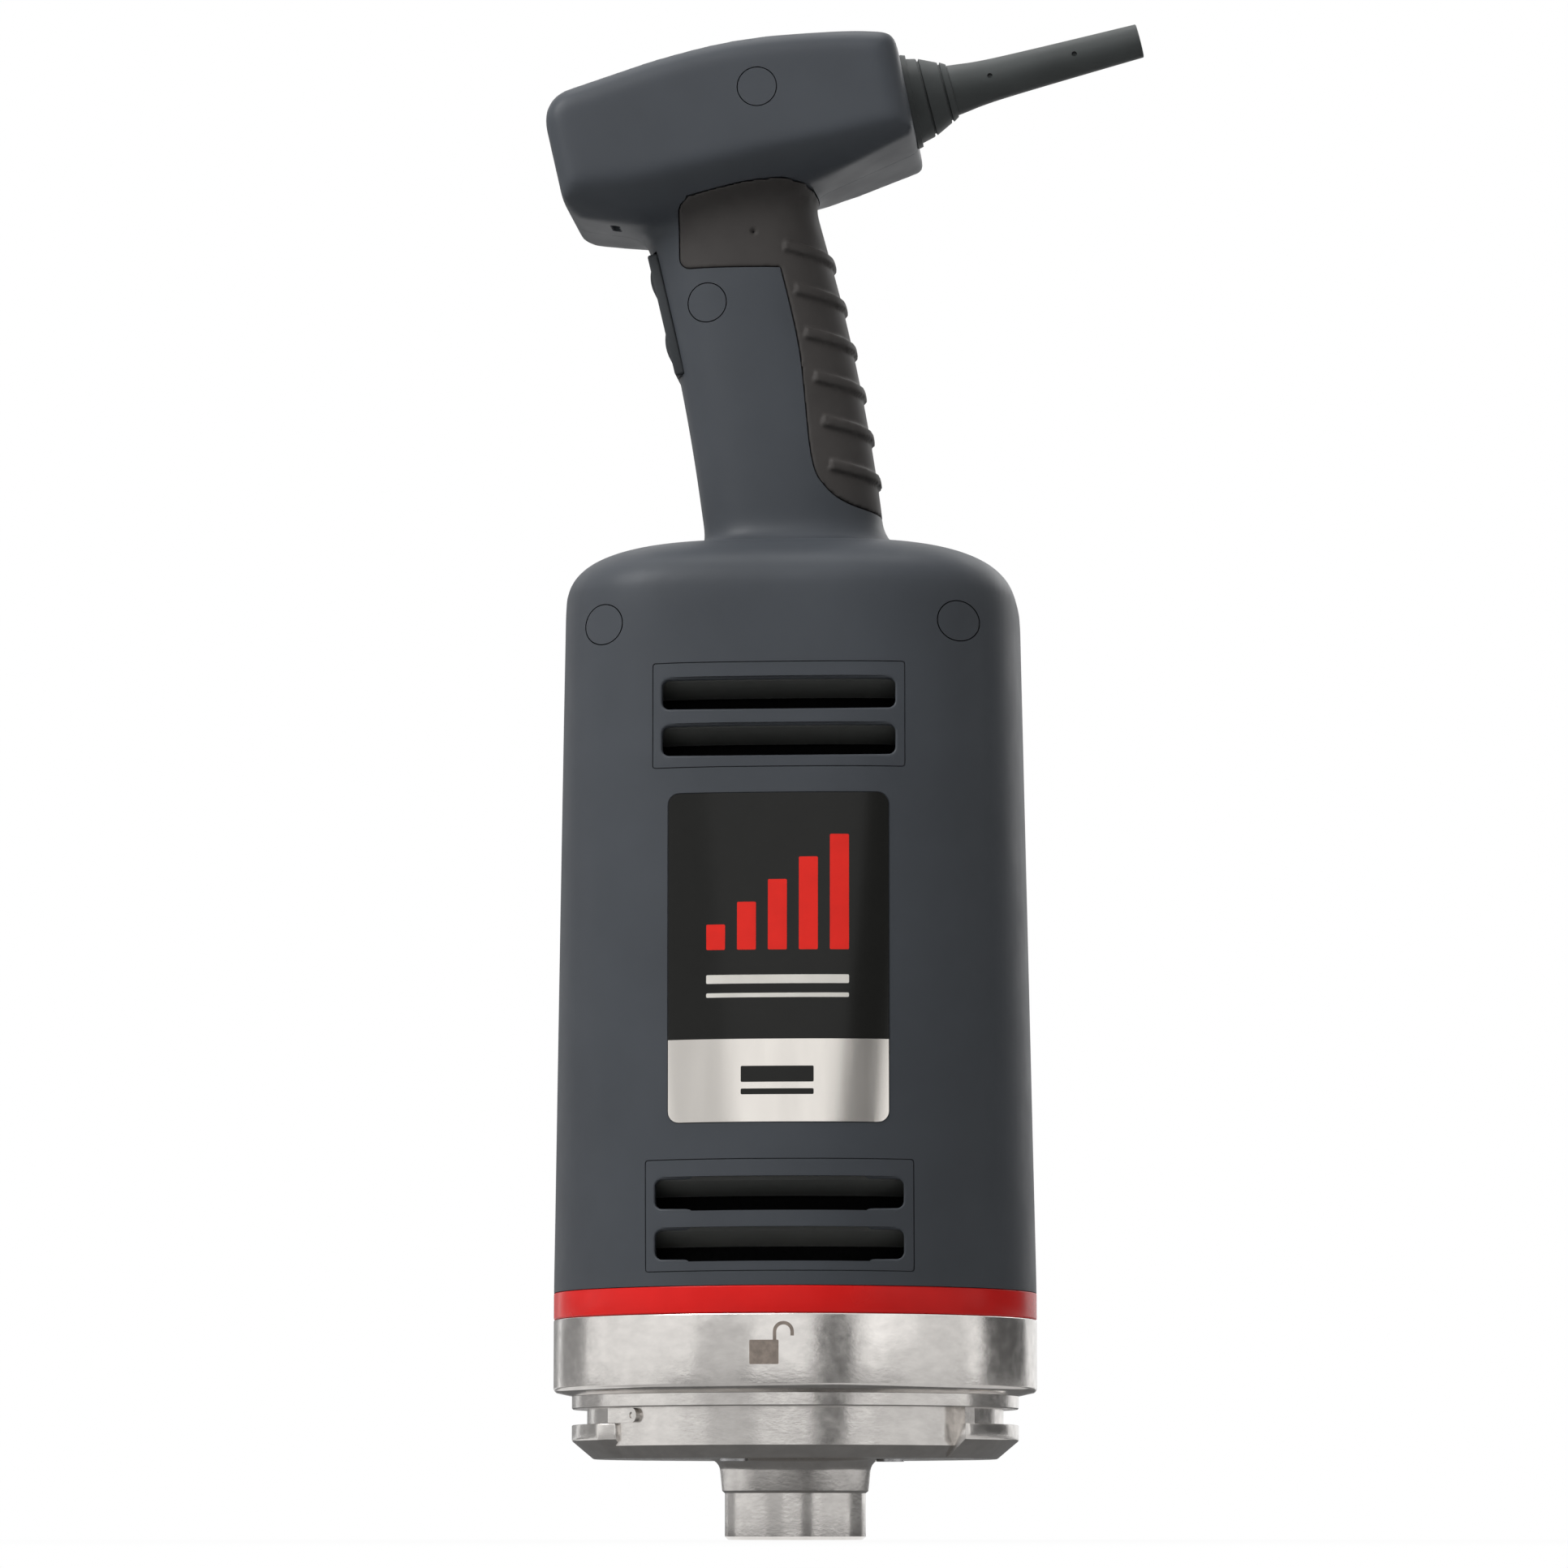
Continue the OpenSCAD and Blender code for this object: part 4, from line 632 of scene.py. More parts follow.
def slot_places():
    """(half width, half height, middle height) of each air slot."""
    vents, z, places = sizes("vents"), levels(), []
    for s in (-0.5, 0.5):
        places.append((vents.upper_half_w, vents.upper_h / 2, z["upper_vent"] + s * vents.upper_pitch))
        places.append((vents.lower_half_w, vents.lower_h / 2, z["lower_vent"] + s * vents.lower_pitch))
    return places


def vent_panels():
    """(half width, half height, middle height) of the panel round each pair of slots."""
    vents, z = sizes("vents"), levels()
    return [(vents.upper_half_w + 2.6 * MM, vents.upper_pitch / 2 + vents.upper_h / 2 + 4 * MM,
             z["upper_vent"] + 0.6 * MM),
            (vents.lower_half_w + 2.7 * MM, vents.lower_pitch / 2 + vents.lower_h / 2 + 4.3 * MM,
             z["lower_vent"] + 1 * MM)]


def side_prism(name, points, side=-1):
    """An outline of (across, up) pairs pulled through the unit's front or back."""
    return prism(name, [(x, side * FAR, z) for x, z in points], (0, -side * 60 * MM, 0))


def panel_prism(name, half_w, half_h, corner, z, side, grow=0):
    """A rounded rectangle pulled through the unit's front or back."""
    points = rounded(half_w + grow, half_h + grow, max(0.2 * MM, corner + grow))
    return side_prism(name, [(x, z + up) for x, up in points], side)


def cap_places():
    """(x, z, depth of the seat) of each cap over a closing screw."""
    z, handle = levels(), sizes("handle")
    corner_x, corner_z = body_half_w(z["shoulder"]) - 14.6 * MM, z["shoulder"] - 6.7 * MM
    seat = front_y(corner_x + handle.cap_r, corner_z) - 2 * MM
    post = Vector((10.6, 0.8)) * MM
    lean = button_lean()
    post_x = grip_front(z["buttons"]) + post.x * math.cos(lean) - post.y * math.sin(lean)
    post_z = z["buttons"] + post.x * math.sin(lean) + post.y * math.cos(lean)
    return [(-corner_x, corner_z, seat), (corner_x, corner_z, seat),
            (-8.5 * MM, z["head"] + 38.2 * MM, handle.half_w - 2 * MM),
            (post_x + 3 * MM, post_z - 1.5 * MM, handle.width / 2 - 5.4 * MM)]


def cap_bar(name, place, gap=0):
    """A round bar from outside the front down to the seat of a cap."""
    x, height, seat = place
    bar = rod(name, sizes("handle").cap_r / MM + gap, 0, 80 - seat / MM)
    return move(bar, along_y(x, height, -FAR))


def button_lean():
    """Lean of the grip's front at the buttons."""
    handle, z = sizes("handle"), levels()
    return math.atan(handle.slope + 2 * handle.bow * (z["buttons"] - z["foot"]))


def at_buttons():
    """Frame of the buttons: its X runs into the grip."""
    height = levels()["buttons"]
    return (Matrix.Translation((grip_front(height), 0, height))
            @ Matrix.Rotation(-button_lean(), 4, "Y"))


def at_guard(angle):
    """Frame of the cord guard: its Z runs out of the head, raised by the angle."""
    return (Matrix.Translation((GUARD_X, 0, levels()["guard"]))
            @ Matrix.Rotation(math.radians(90), 4, "Y") @ Matrix.Rotation(-angle, 4, "Y"))


def along_y(x, z, y0):
    """Frame whose Z runs along Y from y0."""
    return Matrix.Translation((x, y0, z)) @ Matrix.Rotation(math.radians(-90), 4, "X")


def pad_outline():
    """Outline of the rubber pad, seen from the side."""
    under = levels()["under"]

    def at(drop, reach):
        return (grip_front(under - drop * MM) + reach * MM, under - drop * MM)

    corner = Vector(at(7.7, 8))
    start = arc(corner.x + 3.2 * MM, corner.y + 3.2 * MM, 3.2 * MM, 180, 270, 5)
    edge = curve([at(7.7, 37), at(32, 36.8), at(62, 34.6), at(71, 37.2), at(76, 43.5), at(78.3, 54)], 5)
    top = curve([(-2, 17.2), (-12, 15.9), (-22, 13.6), (-29, 11.8)], 3)
    top = [(x * MM, under + z * MM) for x, z in top]
    bend = arc(corner.x + 4 * MM, under + 7.2 * MM, 4 * MM, 115, 180, 4)
    rear = [(80 * MM, under + 6 * MM), (15 * MM, under + 6.5 * MM), (12 * MM, under + 9 * MM),
            (10 * MM, under + 12.5 * MM), (6 * MM, under + 16 * MM)]
    return start + edge + [at(78.3, 62), (80 * MM, at(78.3, 0)[1])] + rear + top + bend


def pad_prism(name, grow):
    """The pad's outline across the grip."""
    points = offset(pad_outline(), grow)
    return prism(name, [(x, -45 * MM, z) for x, z in points], (0, 90 * MM, 0))


def label_prism(name, z0, z1, grow=0, low_corner=3, high_corner=3):
    """Outline of a label panel pulled through the housing's front."""
    half = FILM_TOP.x + grow
    z0, z1 = z0 - grow, z1 + grow
    points = []
    for sx, edge, corner, start in ((1, z1, high_corner, 0), (-1, z1, high_corner, 90),
                                    (-1, z0, low_corner, 180), (1, z0, low_corner, 270)):
        sz = 1 if edge == z1 else -1
        if corner:
            r = corner * MM + grow
            points += arc(sx * (half - r), edge - sz * r, r, start, start + 90, 6)
        else:
            points.append((sx * half, edge))
    return side_prism(name, points)


# ---------- finishes ----------

class Nodes:
    """Adds nodes to the tree of a material or world."""

    def __init__(self, owner):
        owner.use_nodes = True
        self.owner = owner
        self.nodes, self.links = owner.node_tree.nodes, owner.node_tree.links

    def node(self, kind, **values):
        """A new node with its settings and the values of its inputs."""
        node = self.nodes.new("ShaderNode" + kind)
        for key, value in values.items():
            if hasattr(node, key):
                setattr(node, key, value)
            else:
                node.inputs[key.replace("_", " ")].default_value = value
        return node

    def place(self, kind="Object"):
        """The place on the piece, or the way into the world."""
        return self.node("TexCoord").outputs[kind]

    def ramp(self, value, start, end, low, high):
        """Turns the range from start to end into low to high."""
        node = self.node("MapRange", From_Min=start, From_Max=end, To_Min=low, To_Max=high)
        self.links.new(value, node.inputs["Value"])
        return node.outputs["Result"]

    def seen(self):
        """1 for rays that should meet plain white."""
        path = self.node("LightPath")
        total = path.outputs["Is Camera Ray"]
        for name in ("Is Glossy Ray", "Is Transmission Ray"):
            larger = self.node("Math", operation="MAXIMUM")
            self.links.new(total, larger.inputs[0])
            self.links.new(path.outputs[name], larger.inputs[1])
            total = larger.outputs[0]
        return total


class Shader(Nodes):
    """Builds one procedural material."""

    def __init__(self, name, tint, roughness, metallic=0.0, **sockets):
        super().__init__(bpy.data.materials.new(name))
        self.material = self.owner
        self.shader = self.nodes["Principled BSDF"]
        self.tint = tuple(tint)[:3]
        self.shader.inputs["Base Color"].default_value = (*self.tint, 1)
        self.shader.inputs["Roughness"].default_value = roughness
        self.shader.inputs["Metallic"].default_value = metallic
        for key, value in sockets.items():
            self.shader.inputs[key.replace("_", " ")].default_value = value
        self.roughness, self.height = roughness, None
        self.spot = self.place()

    def noise(self, scale, stretch=(1, 1, 1), detail=3, roughness=0.55):
        """A soft uneven pattern."""
        turn = self.node("Mapping", Scale=stretch)
        self.links.new(self.spot, turn.inputs["Vector"])
        noise = self.node("TexNoise", Scale=scale, Detail=detail, Roughness=roughness)
        self.links.new(turn.outputs["Vector"], noise.inputs["Vector"])
        return noise.outputs["Fac"]

    def blend(self, share, darker, lighter):
        """The colour runs between two shades."""
        mix = self.node("Mix", data_type="RGBA")  # its colours are inputs 6 and 7 and output 2
        mix.inputs[6].default_value = (*[c * darker for c in self.tint], 1)
        mix.inputs[7].default_value = (*[c * lighter for c in self.tint], 1)
        self.links.new(share, mix.inputs[0])
        self.links.new(mix.outputs[2], self.shader.inputs["Base Color"])

    def relief(self, height, strength, distance):
        """Relief on top of what is there, in mm."""
        bump = self.node("Bump", Strength=strength, Distance=distance * MM)
        self.links.new(height, bump.inputs["Height"])
        if self.height:
            self.links.new(self.height, bump.inputs["Normal"])
        self.height = bump.outputs["Normal"]
        self.links.new(self.height, self.shader.inputs["Normal"])

    def mottle(self, scale, darker=0.85, lighter=1.12, stretch=(1, 1, 1)):
        """The colour varies in soft patches."""
        self.blend(self.ramp(self.noise(scale, stretch), 0.3, 0.7, 0, 1), darker, lighter)
        return self

    def uneven(self, scale, spread=0.08, stretch=(1, 1, 1)):
        """The gloss varies over the surface."""
        value = self.ramp(self.noise(scale, stretch), 0.3, 0.7,
                          self.roughness - spread, self.roughness + spread)
        self.links.new(value, self.shader.inputs["Roughness"])
        return self

    def grain(self, scale, strength=0.2, distance=0.05, stretch=(1, 1, 1), detail=3):
        """Fine relief all over."""
        self.relief(self.noise(scale, stretch, detail), strength, distance)
        return self

    def lines(self, scale, strength=0.4, distance=0.1, direction="Z", darker=0.6):
        """Even lines, as of stacked sheets or wound wire."""
        wave = self.node("TexWave", Scale=scale, Distortion=0.0, bands_direction=direction)
        self.links.new(self.spot, wave.inputs["Vector"])
        self.blend(wave.outputs["Fac"], darker, 1)
        self.relief(wave.outputs["Fac"], strength, distance)
        return self


def moulded_plastic(name, tint, roughness=0.46):
    """Even plastic with a fine spark-eroded grain."""
    return (Shader(name, tint, roughness, Specular_IOR_Level=0.2).mottle(38, 0.94, 1.06).uneven(60, 0.04)
            .grain(2600, 0.16, 0.03).material)


def soft_rubber(name, tint, roughness=0.62):
    """Dull rubber with a coarser grain."""
    return (Shader(name, tint, roughness, Specular_IOR_Level=0.2).mottle(55, 0.88, 1.12)
            .uneven(90, 0.05).grain(1900, 0.22, 0.04).material)


def printed_film(name, tint, roughness=0.16):
    """Smooth glossy film or ink."""
    return (Shader(name, tint, roughness, Specular_IOR_Level=0.22)
            .mottle(120, 0.95, 1.05).grain(320, 0.05, 0.02).material)


def polished_casting(name, tint):
    """Bright cast metal with the small waves of hand polishing."""
    return (Shader(name, tint, 0.2, 1.0).mottle(160, 0.9, 1.04, (1, 1, 2)).uneven(240, 0.06)
            .grain(100, 0.05, 0.12, (1, 1, 2.2)).grain(650, 0.34, 0.06, (1, 1, 1.7)).grain(1900, 0.2, 0.03)
            .material)


def worked_metal(name, tint, roughness, scale=900, stretch=(1, 1, 1)):
    """Turned, ground or plain cast metal."""
    return (Shader(name, tint, roughness, 1.0).mottle(140, 0.86, 1.1).uneven(220, 0.06)
            .grain(scale, 0.18, 0.03, stretch).material)


def inner_finishes():
    """Materials of the record's slots, for the pieces inside."""
    tints = sizes("finishes")
    return {
        "housing": moulded_plastic("inner_housing", tints.housing),
        "cast_metal": polished_casting("plain_casting", tints.casting),
        "frame_metal": worked_metal("raw_casting", (0.56, 0.56, 0.55), 0.42, 500),
        "steel": worked_metal("ground_steel", (0.56, 0.56, 0.57), 0.24, 700, (1, 1, 12)),
        "laminations": Shader("sheet_stack", (0.30, 0.31, 0.32), 0.4, 0.9)
        .lines(320, 0.5, 0.12, "Z", 0.55).material,
        "copper": Shader("varnished_wire", (0.50, 0.17, 0.06), 0.3, 0.8, Coat_Weight=0.5)
        .lines(260, 0.6, 0.2, "Z", 0.45).material,
        "brass": worked_metal("pressed_brass", (0.72, 0.52, 0.20), 0.26),
        "carbon": Shader("pressed_carbon", (0.025, 0.025, 0.028), 0.5, 0.2)
        .mottle(500, 0.7, 1.5).grain(1500, 0.3, 0.05).material,
        "inner_plastic": moulded_plastic("inner_plastic", (0.030, 0.032, 0.035), 0.5),
        "insulation": moulded_plastic("insulation", (0.46, 0.40, 0.28), 0.45),
        "board": Shader("circuit_board", (0.012, 0.13, 0.05), 0.32, Coat_Weight=0.4)
        .mottle(260, 0.6, 1.4, (1, 6, 1)).grain(700, 0.2, 0.04).material,
        "component": moulded_plastic("component", (0.05, 0.09, 0.22), 0.38),
        "guard_rubber": soft_rubber("inner_guard_rubber", tints.guard),
        "seal_rubber": soft_rubber("seal_rubber", (0.035, 0.026, 0.023), 0.5),
        "lead_wire": soft_rubber("lead_sleeve", (0.40, 0.035, 0.03), 0.45),
        "grip_rubber": soft_rubber("inner_pad", tints.pad),
        "button_plastic": soft_rubber("inner_button", tints.controls),
        "label_black": printed_film("inner_film", tints.film),
        "label_silver": printed_film("inner_foil", tints.foil),
        "red_trim": moulded_plastic("inner_band", tints.band, 0.35),
    }


def node_slots():
    """Name of the record's material slot of each CAD node."""
    return {part["node"]: part["material_slot"] for part in frame["record"]["subparts"]}


# ---------- operators ----------

class ModelHousing(bpy.types.Operator):
    """Models the two shells of the housing and the handle"""
    bl_idname = "unit.model_housing"
    bl_label = "Housing"

    def cut_pad_seat(self, form):
        """Sinks the surface under the rubber pad."""
        band = pad_prism("band", 0.2 * MM)
        carve(band, sunk_form("band_core", sizes("handle").pad_t + 0.1 * MM))
        carve(form, band)

    def cut_vents(self, form):
        """Cuts the air slots and the fine line round each pair."""
        vents, corner = sizes("vents"), 0.8 * MM
        outside, inside, depth = 0.16 * MM, 0.12 * MM, 0.5 * MM
        for half_w, half_h, middle in slot_places():
            for side in (-1, 1):
                rings = slot_rings(half_w, half_h, vents.corner, middle, side, vents.edge, 40 * MM)
                carve(form, loft("slot", rings))
        for half_w, half_h, middle in vent_panels():
            for side in (-1, 1):
                line = panel_prism("line", half_w, half_h, corner, middle, side, outside)
                carve(line, panel_prism("line_core", half_w, half_h, corner, middle, side, -inside))
                carve(line, body_form("line_depth", -depth))
                carve(form, line)

    def cut_front(self, form):
        """Cuts the shallow place of the label and the holes of the screw caps."""
        recess = label_prism("recess", FOIL_LOW.z, FILM_TOP.z, 0.25 * MM)
        carve(recess, body_form("recess_depth", -0.3 * MM, steps=256))
        carve(form, recess)
        for place in cap_places():
            carve(form, cap_bar("cap_hole", place, 0.3))

    def hollow(self, form):
        """Hollows the body, the grip and the head."""
        thick = 3.5
        carve(form, body_form("body_cavity", -sizes("housing").wall, end=60))
        carve(form, grip_form("grip_cavity", -thick * MM))
        carve(form, head_form("head_cavity", -thick))

    def cut_handle(self, form):
        """Cuts the handle open for the buttons, the cord guard and the hole under its front end."""
        window = block("window", (-6, -11.3, -18.3), (2.3, 11.3, 18.3))
        join(window, block("window_core", (-6, -10, -17), (9, 10, 17)))
        carve(form, move(window, at_buttons()))
        carve(form, move(rod("guard_hole", 10.8, -14, 10), at_guard(sizes("guard").tilt)))
        for y in (-8.5, -11, -13.5):
            place = Matrix.Translation((-50.6 * MM, y * MM, levels()["head"]))
            carve(form, move(rod("chin_hole", 1.5, -6, 4.5, 24), place))

    def execute(self, context):
        plastic = moulded_plastic("slate_plastic", sizes("finishes").housing)
        form = outer_form()
        keep_mesh(form, FORM)
        for cut in (self.cut_pad_seat, self.cut_vents, self.cut_front, self.hollow, self.cut_handle):
            cut(form)
        for name, node, side in (("front_housing", "front_shell", -1), ("back_housing", "back_shell", 1)):
            half = clip(twin(name, form.data), (0, side * sizes("housing").seam / 2, 0), (0, side, 0))
            publish(soften(half), "housing", "housing", plastic, node)
        drop(form)
        return {"FINISHED"}


class ModelCaps(bpy.types.Operator):
    """Models the caps over the closing screws"""
    bl_idname = "unit.model_caps"
    bl_label = "Screw caps"

    def execute(self, context):
        caps = [cross(cap_bar("cap", place), twin("skin", bpy.data.meshes[FORM]))
                for place in cap_places()]
        piece = soften(gather("screw_caps", caps))
        plastic = moulded_plastic("cap_plastic", sizes("finishes").housing, 0.44)
        publish(piece, "housing", "housing", plastic, "screw_plugs")
        return {"FINISHED"}


class ModelLouvres(bpy.types.Operator):
    """Models the sloping blades behind the air slots, and near-black sheets behind them that paint the shade
    inside the unit
    """
    bl_idname = "unit.model_louvres"
    bl_label = "Louvres"

    def execute(self, context):
        blades, shades, steps = [], [], 24
        blade = ((3.1, 0.9), (3.1, -0.35), (10.5, -4.4), (11.4, -4.2), (11.4, -3.2), (4.4, 0.9))
        for half_w, half_h, middle in slot_places():
            top, low = middle + half_h, -2 * half_h / MM - 2.4
            shade = ((12.2, low), (12.9, low), (12.9, 1.6), (12.2, 1.6))
            across = [(half_w + 1 * MM) * (2 * i / steps - 1) for i in range(steps + 1)]

            def bar(name, section, side):
                """A section of (depth, up) pairs in mm pulled along behind a slot."""
                return loft(name, [[(x, side * (front_y(x, middle) - d * MM), top + up * MM)
                                    for d, up in section] for x in across])
            for side in (-1, 1):
                blades.append(bar("blade", blade, side))
                shades.append(bar("shade", shade, side))
        piece = soften(gather("vent_louvres", blades), 30)
        plastic = moulded_plastic("louvre_plastic", (0.085, 0.088, 0.084), 0.42)
        publish(piece, "housing", "inner_plastic", plastic)
        # Painted shade: near-black matte sheets stand where the inside of the unit lies in shade, so the
        # slots look dark.
        painted_shade = (Shader("painted_shade_sheet", (0.004, 0.004, 0.0045), 0.9, Specular_IOR_Level=0.05)
                .mottle(700, 0.7, 1.3).grain(900, 0.3, 0.1).material)
        publish(soften(gather("vent_shades", shades), 30), "housing", "inner_plastic", painted_shade)
        return {"FINISHED"}


class ModelPad(bpy.types.Operator):
    """Models the ribbed rubber pad of the grip"""
    bl_idname = "unit.model_pad"
    bl_label = "Grip pad"

    def execute(self, context):
        handle, z, count = sizes("handle"), levels(), 6
        pad = sunk_form("rubber_pad", -0.1 * MM)
        ribs = []
        for i in range(count):
            at = z["under"] - 2 * MM - i * handle.rib_pitch
            half = handle.rib_w / MM / 2
            rib = block("rib", (-3.6, -25, -half), (16, 25, half))
            place = Matrix.Translation((grip_front(at) + handle.depth - 8 * MM, 0, at))
            ribs.append(move(rib, place @ Matrix.Rotation(math.radians(10), 4, "Y")))
        join(pad, cross(sunk_form("raised", -handle.rib_rise), gather("ribs", ribs)))
        cross(pad, pad_prism("pad_zone", 0))
        mark = along_y(-10.6 * MM, z["under"] + 2.6 * MM, -20 * MM)
        carve(pad, move(rod("pin_mark", 0.8, -6, 1.4, 24), mark))
        carve(pad, sunk_form("pad_core", handle.pad_t))
        soften(melt(pad, 0.55 * MM, 3), 60)
        rubber = soft_rubber("pad_rubber", sizes("finishes").pad)
        publish(pad, "housing", "grip_rubber", rubber, "grip_pad")
        return {"FINISHED"}


class ModelButtons(bpy.types.Operator):
    """Models the button frame, the start trigger and the lock button"""
    bl_idname = "unit.model_buttons"
    bl_label = "Buttons"

    def execute(self, context):
        rubber = soft_rubber("button_rubber", sizes("finishes").controls, 0.52)
        for name, node, body, width in (("button_frame", "button_bezel", "housing", 0.7),
                                        ("start_button", "start_trigger", "start_trigger", 0.9),
                                        ("catch_button", "lock_button", "lock_button", 0.9)):
            piece = soften(bevel(from_node(name, node), width, 3, 50))
            publish(piece, body, "button_plastic", rubber, node)
        return {"FINISHED"}


class ModelLabel(bpy.types.Operator):
    """Models the film on the front with its plain bars"""
    bl_idname = "unit.model_label"
    bl_label = "Label"

    def execute(self, context):
        looks = sizes("finishes")

        def film(name, shape, low, high):
            """The shape as a sheet between two heights in mm over the housing's front."""
            outer = body_form(name, high * MM, steps=256)
            cross(outer, shape)
            return soften(carve(outer, body_form("film_core", low * MM, steps=256)))

        black = film("label_black_film", label_prism("film", FILM_LOW.z, FILM_TOP.z, 0, 0, 3), -0.28, 0.2)
        publish(black, "housing", "label_black", printed_film("black_film", looks.film), "label_film")
        silver = film("label_silver_film", label_prism("foil", FOIL_LOW.z, FOIL_TOP.z, 0, 3, 0), -0.28, 0.2)
        brushed = (Shader("silver_film", looks.foil, 0.2, 1.0)
                   .mottle(60, 0.92, 1.05, (1, 1, 0.2)).uneven(90, 0.06, (1, 1, 0.15))
                   .grain(45, 0.05, 0.1, (1, 1, 0.25)).material)
        publish(silver, "housing", "label_silver", brushed, "label_foil")

        def bars(name, boxes, tint):
            """Printed bars from (x, height, width, tall) boxes in mm."""
            prints = []
            for x, height, width, tall in boxes:
                shape = rounded(width / 2 * MM, tall / 2 * MM, 0.35 * MM, 3)
                points = [(x * MM + across, height * MM + up) for across, up in shape]
                prints.append(film("bar", side_prism("bar_shape", points), 0.12, 0.24))
            publish(gather(name, prints), "housing", "label_black", printed_film(name + "_ink", tint, 0.28))

        base = FOIL_TOP.z / MM
        rising = [(-17 + 8.5 * i, base + 24.5 + (7 + 6.2 * i) / 2, 5.2, 7 + 6.2 * i) for i in range(5)]
        bars("print_red_bars", rising, looks.print_red)
        bars("print_pale_bars", [(0, base + 16.4, 39.2, 2.4), (0, base + 12, 39.2, 1.2)], looks.print_pale)
        bars("print_dark_bars", [(0, base - 9.6, 20, 4.4), (0, base - 14.4, 20, 1.6)], looks.film)
        return {"FINISHED"}


class ModelBand(bpy.types.Operator):
    """Models the red band between the housing and the skirt"""
    bl_idname = "unit.model_band"
    bl_label = "Red band"

    def execute(self, context):
        low, top, outer = BAND_LOW.z / MM, BAND_TOP.z / MM, BAND_TOP.x / MM
        inner, edge, gap = outer - 3.15, 0.45, 0.06
        profile = [(inner, low + gap), (inner, top - gap)]
        profile += arc(outer - edge, top - gap - edge, edge, 90, 0, 4)
        profile += arc(outer - edge, low + gap + edge, edge, 0, -90, 4)
        piece = soften(lathe("red_band", profile, 256))
        gloss = (Shader("red_plastic", sizes("finishes").band, 0.24, Specular_IOR_Level=0.13)
                 .mottle(70, 0.93, 1.03).uneven(80, 0.05).grain(1400, 0.06, 0.02).material)
        publish(piece, "housing", "red_trim", gloss, "trim_ring")
        return {"FINISHED"}


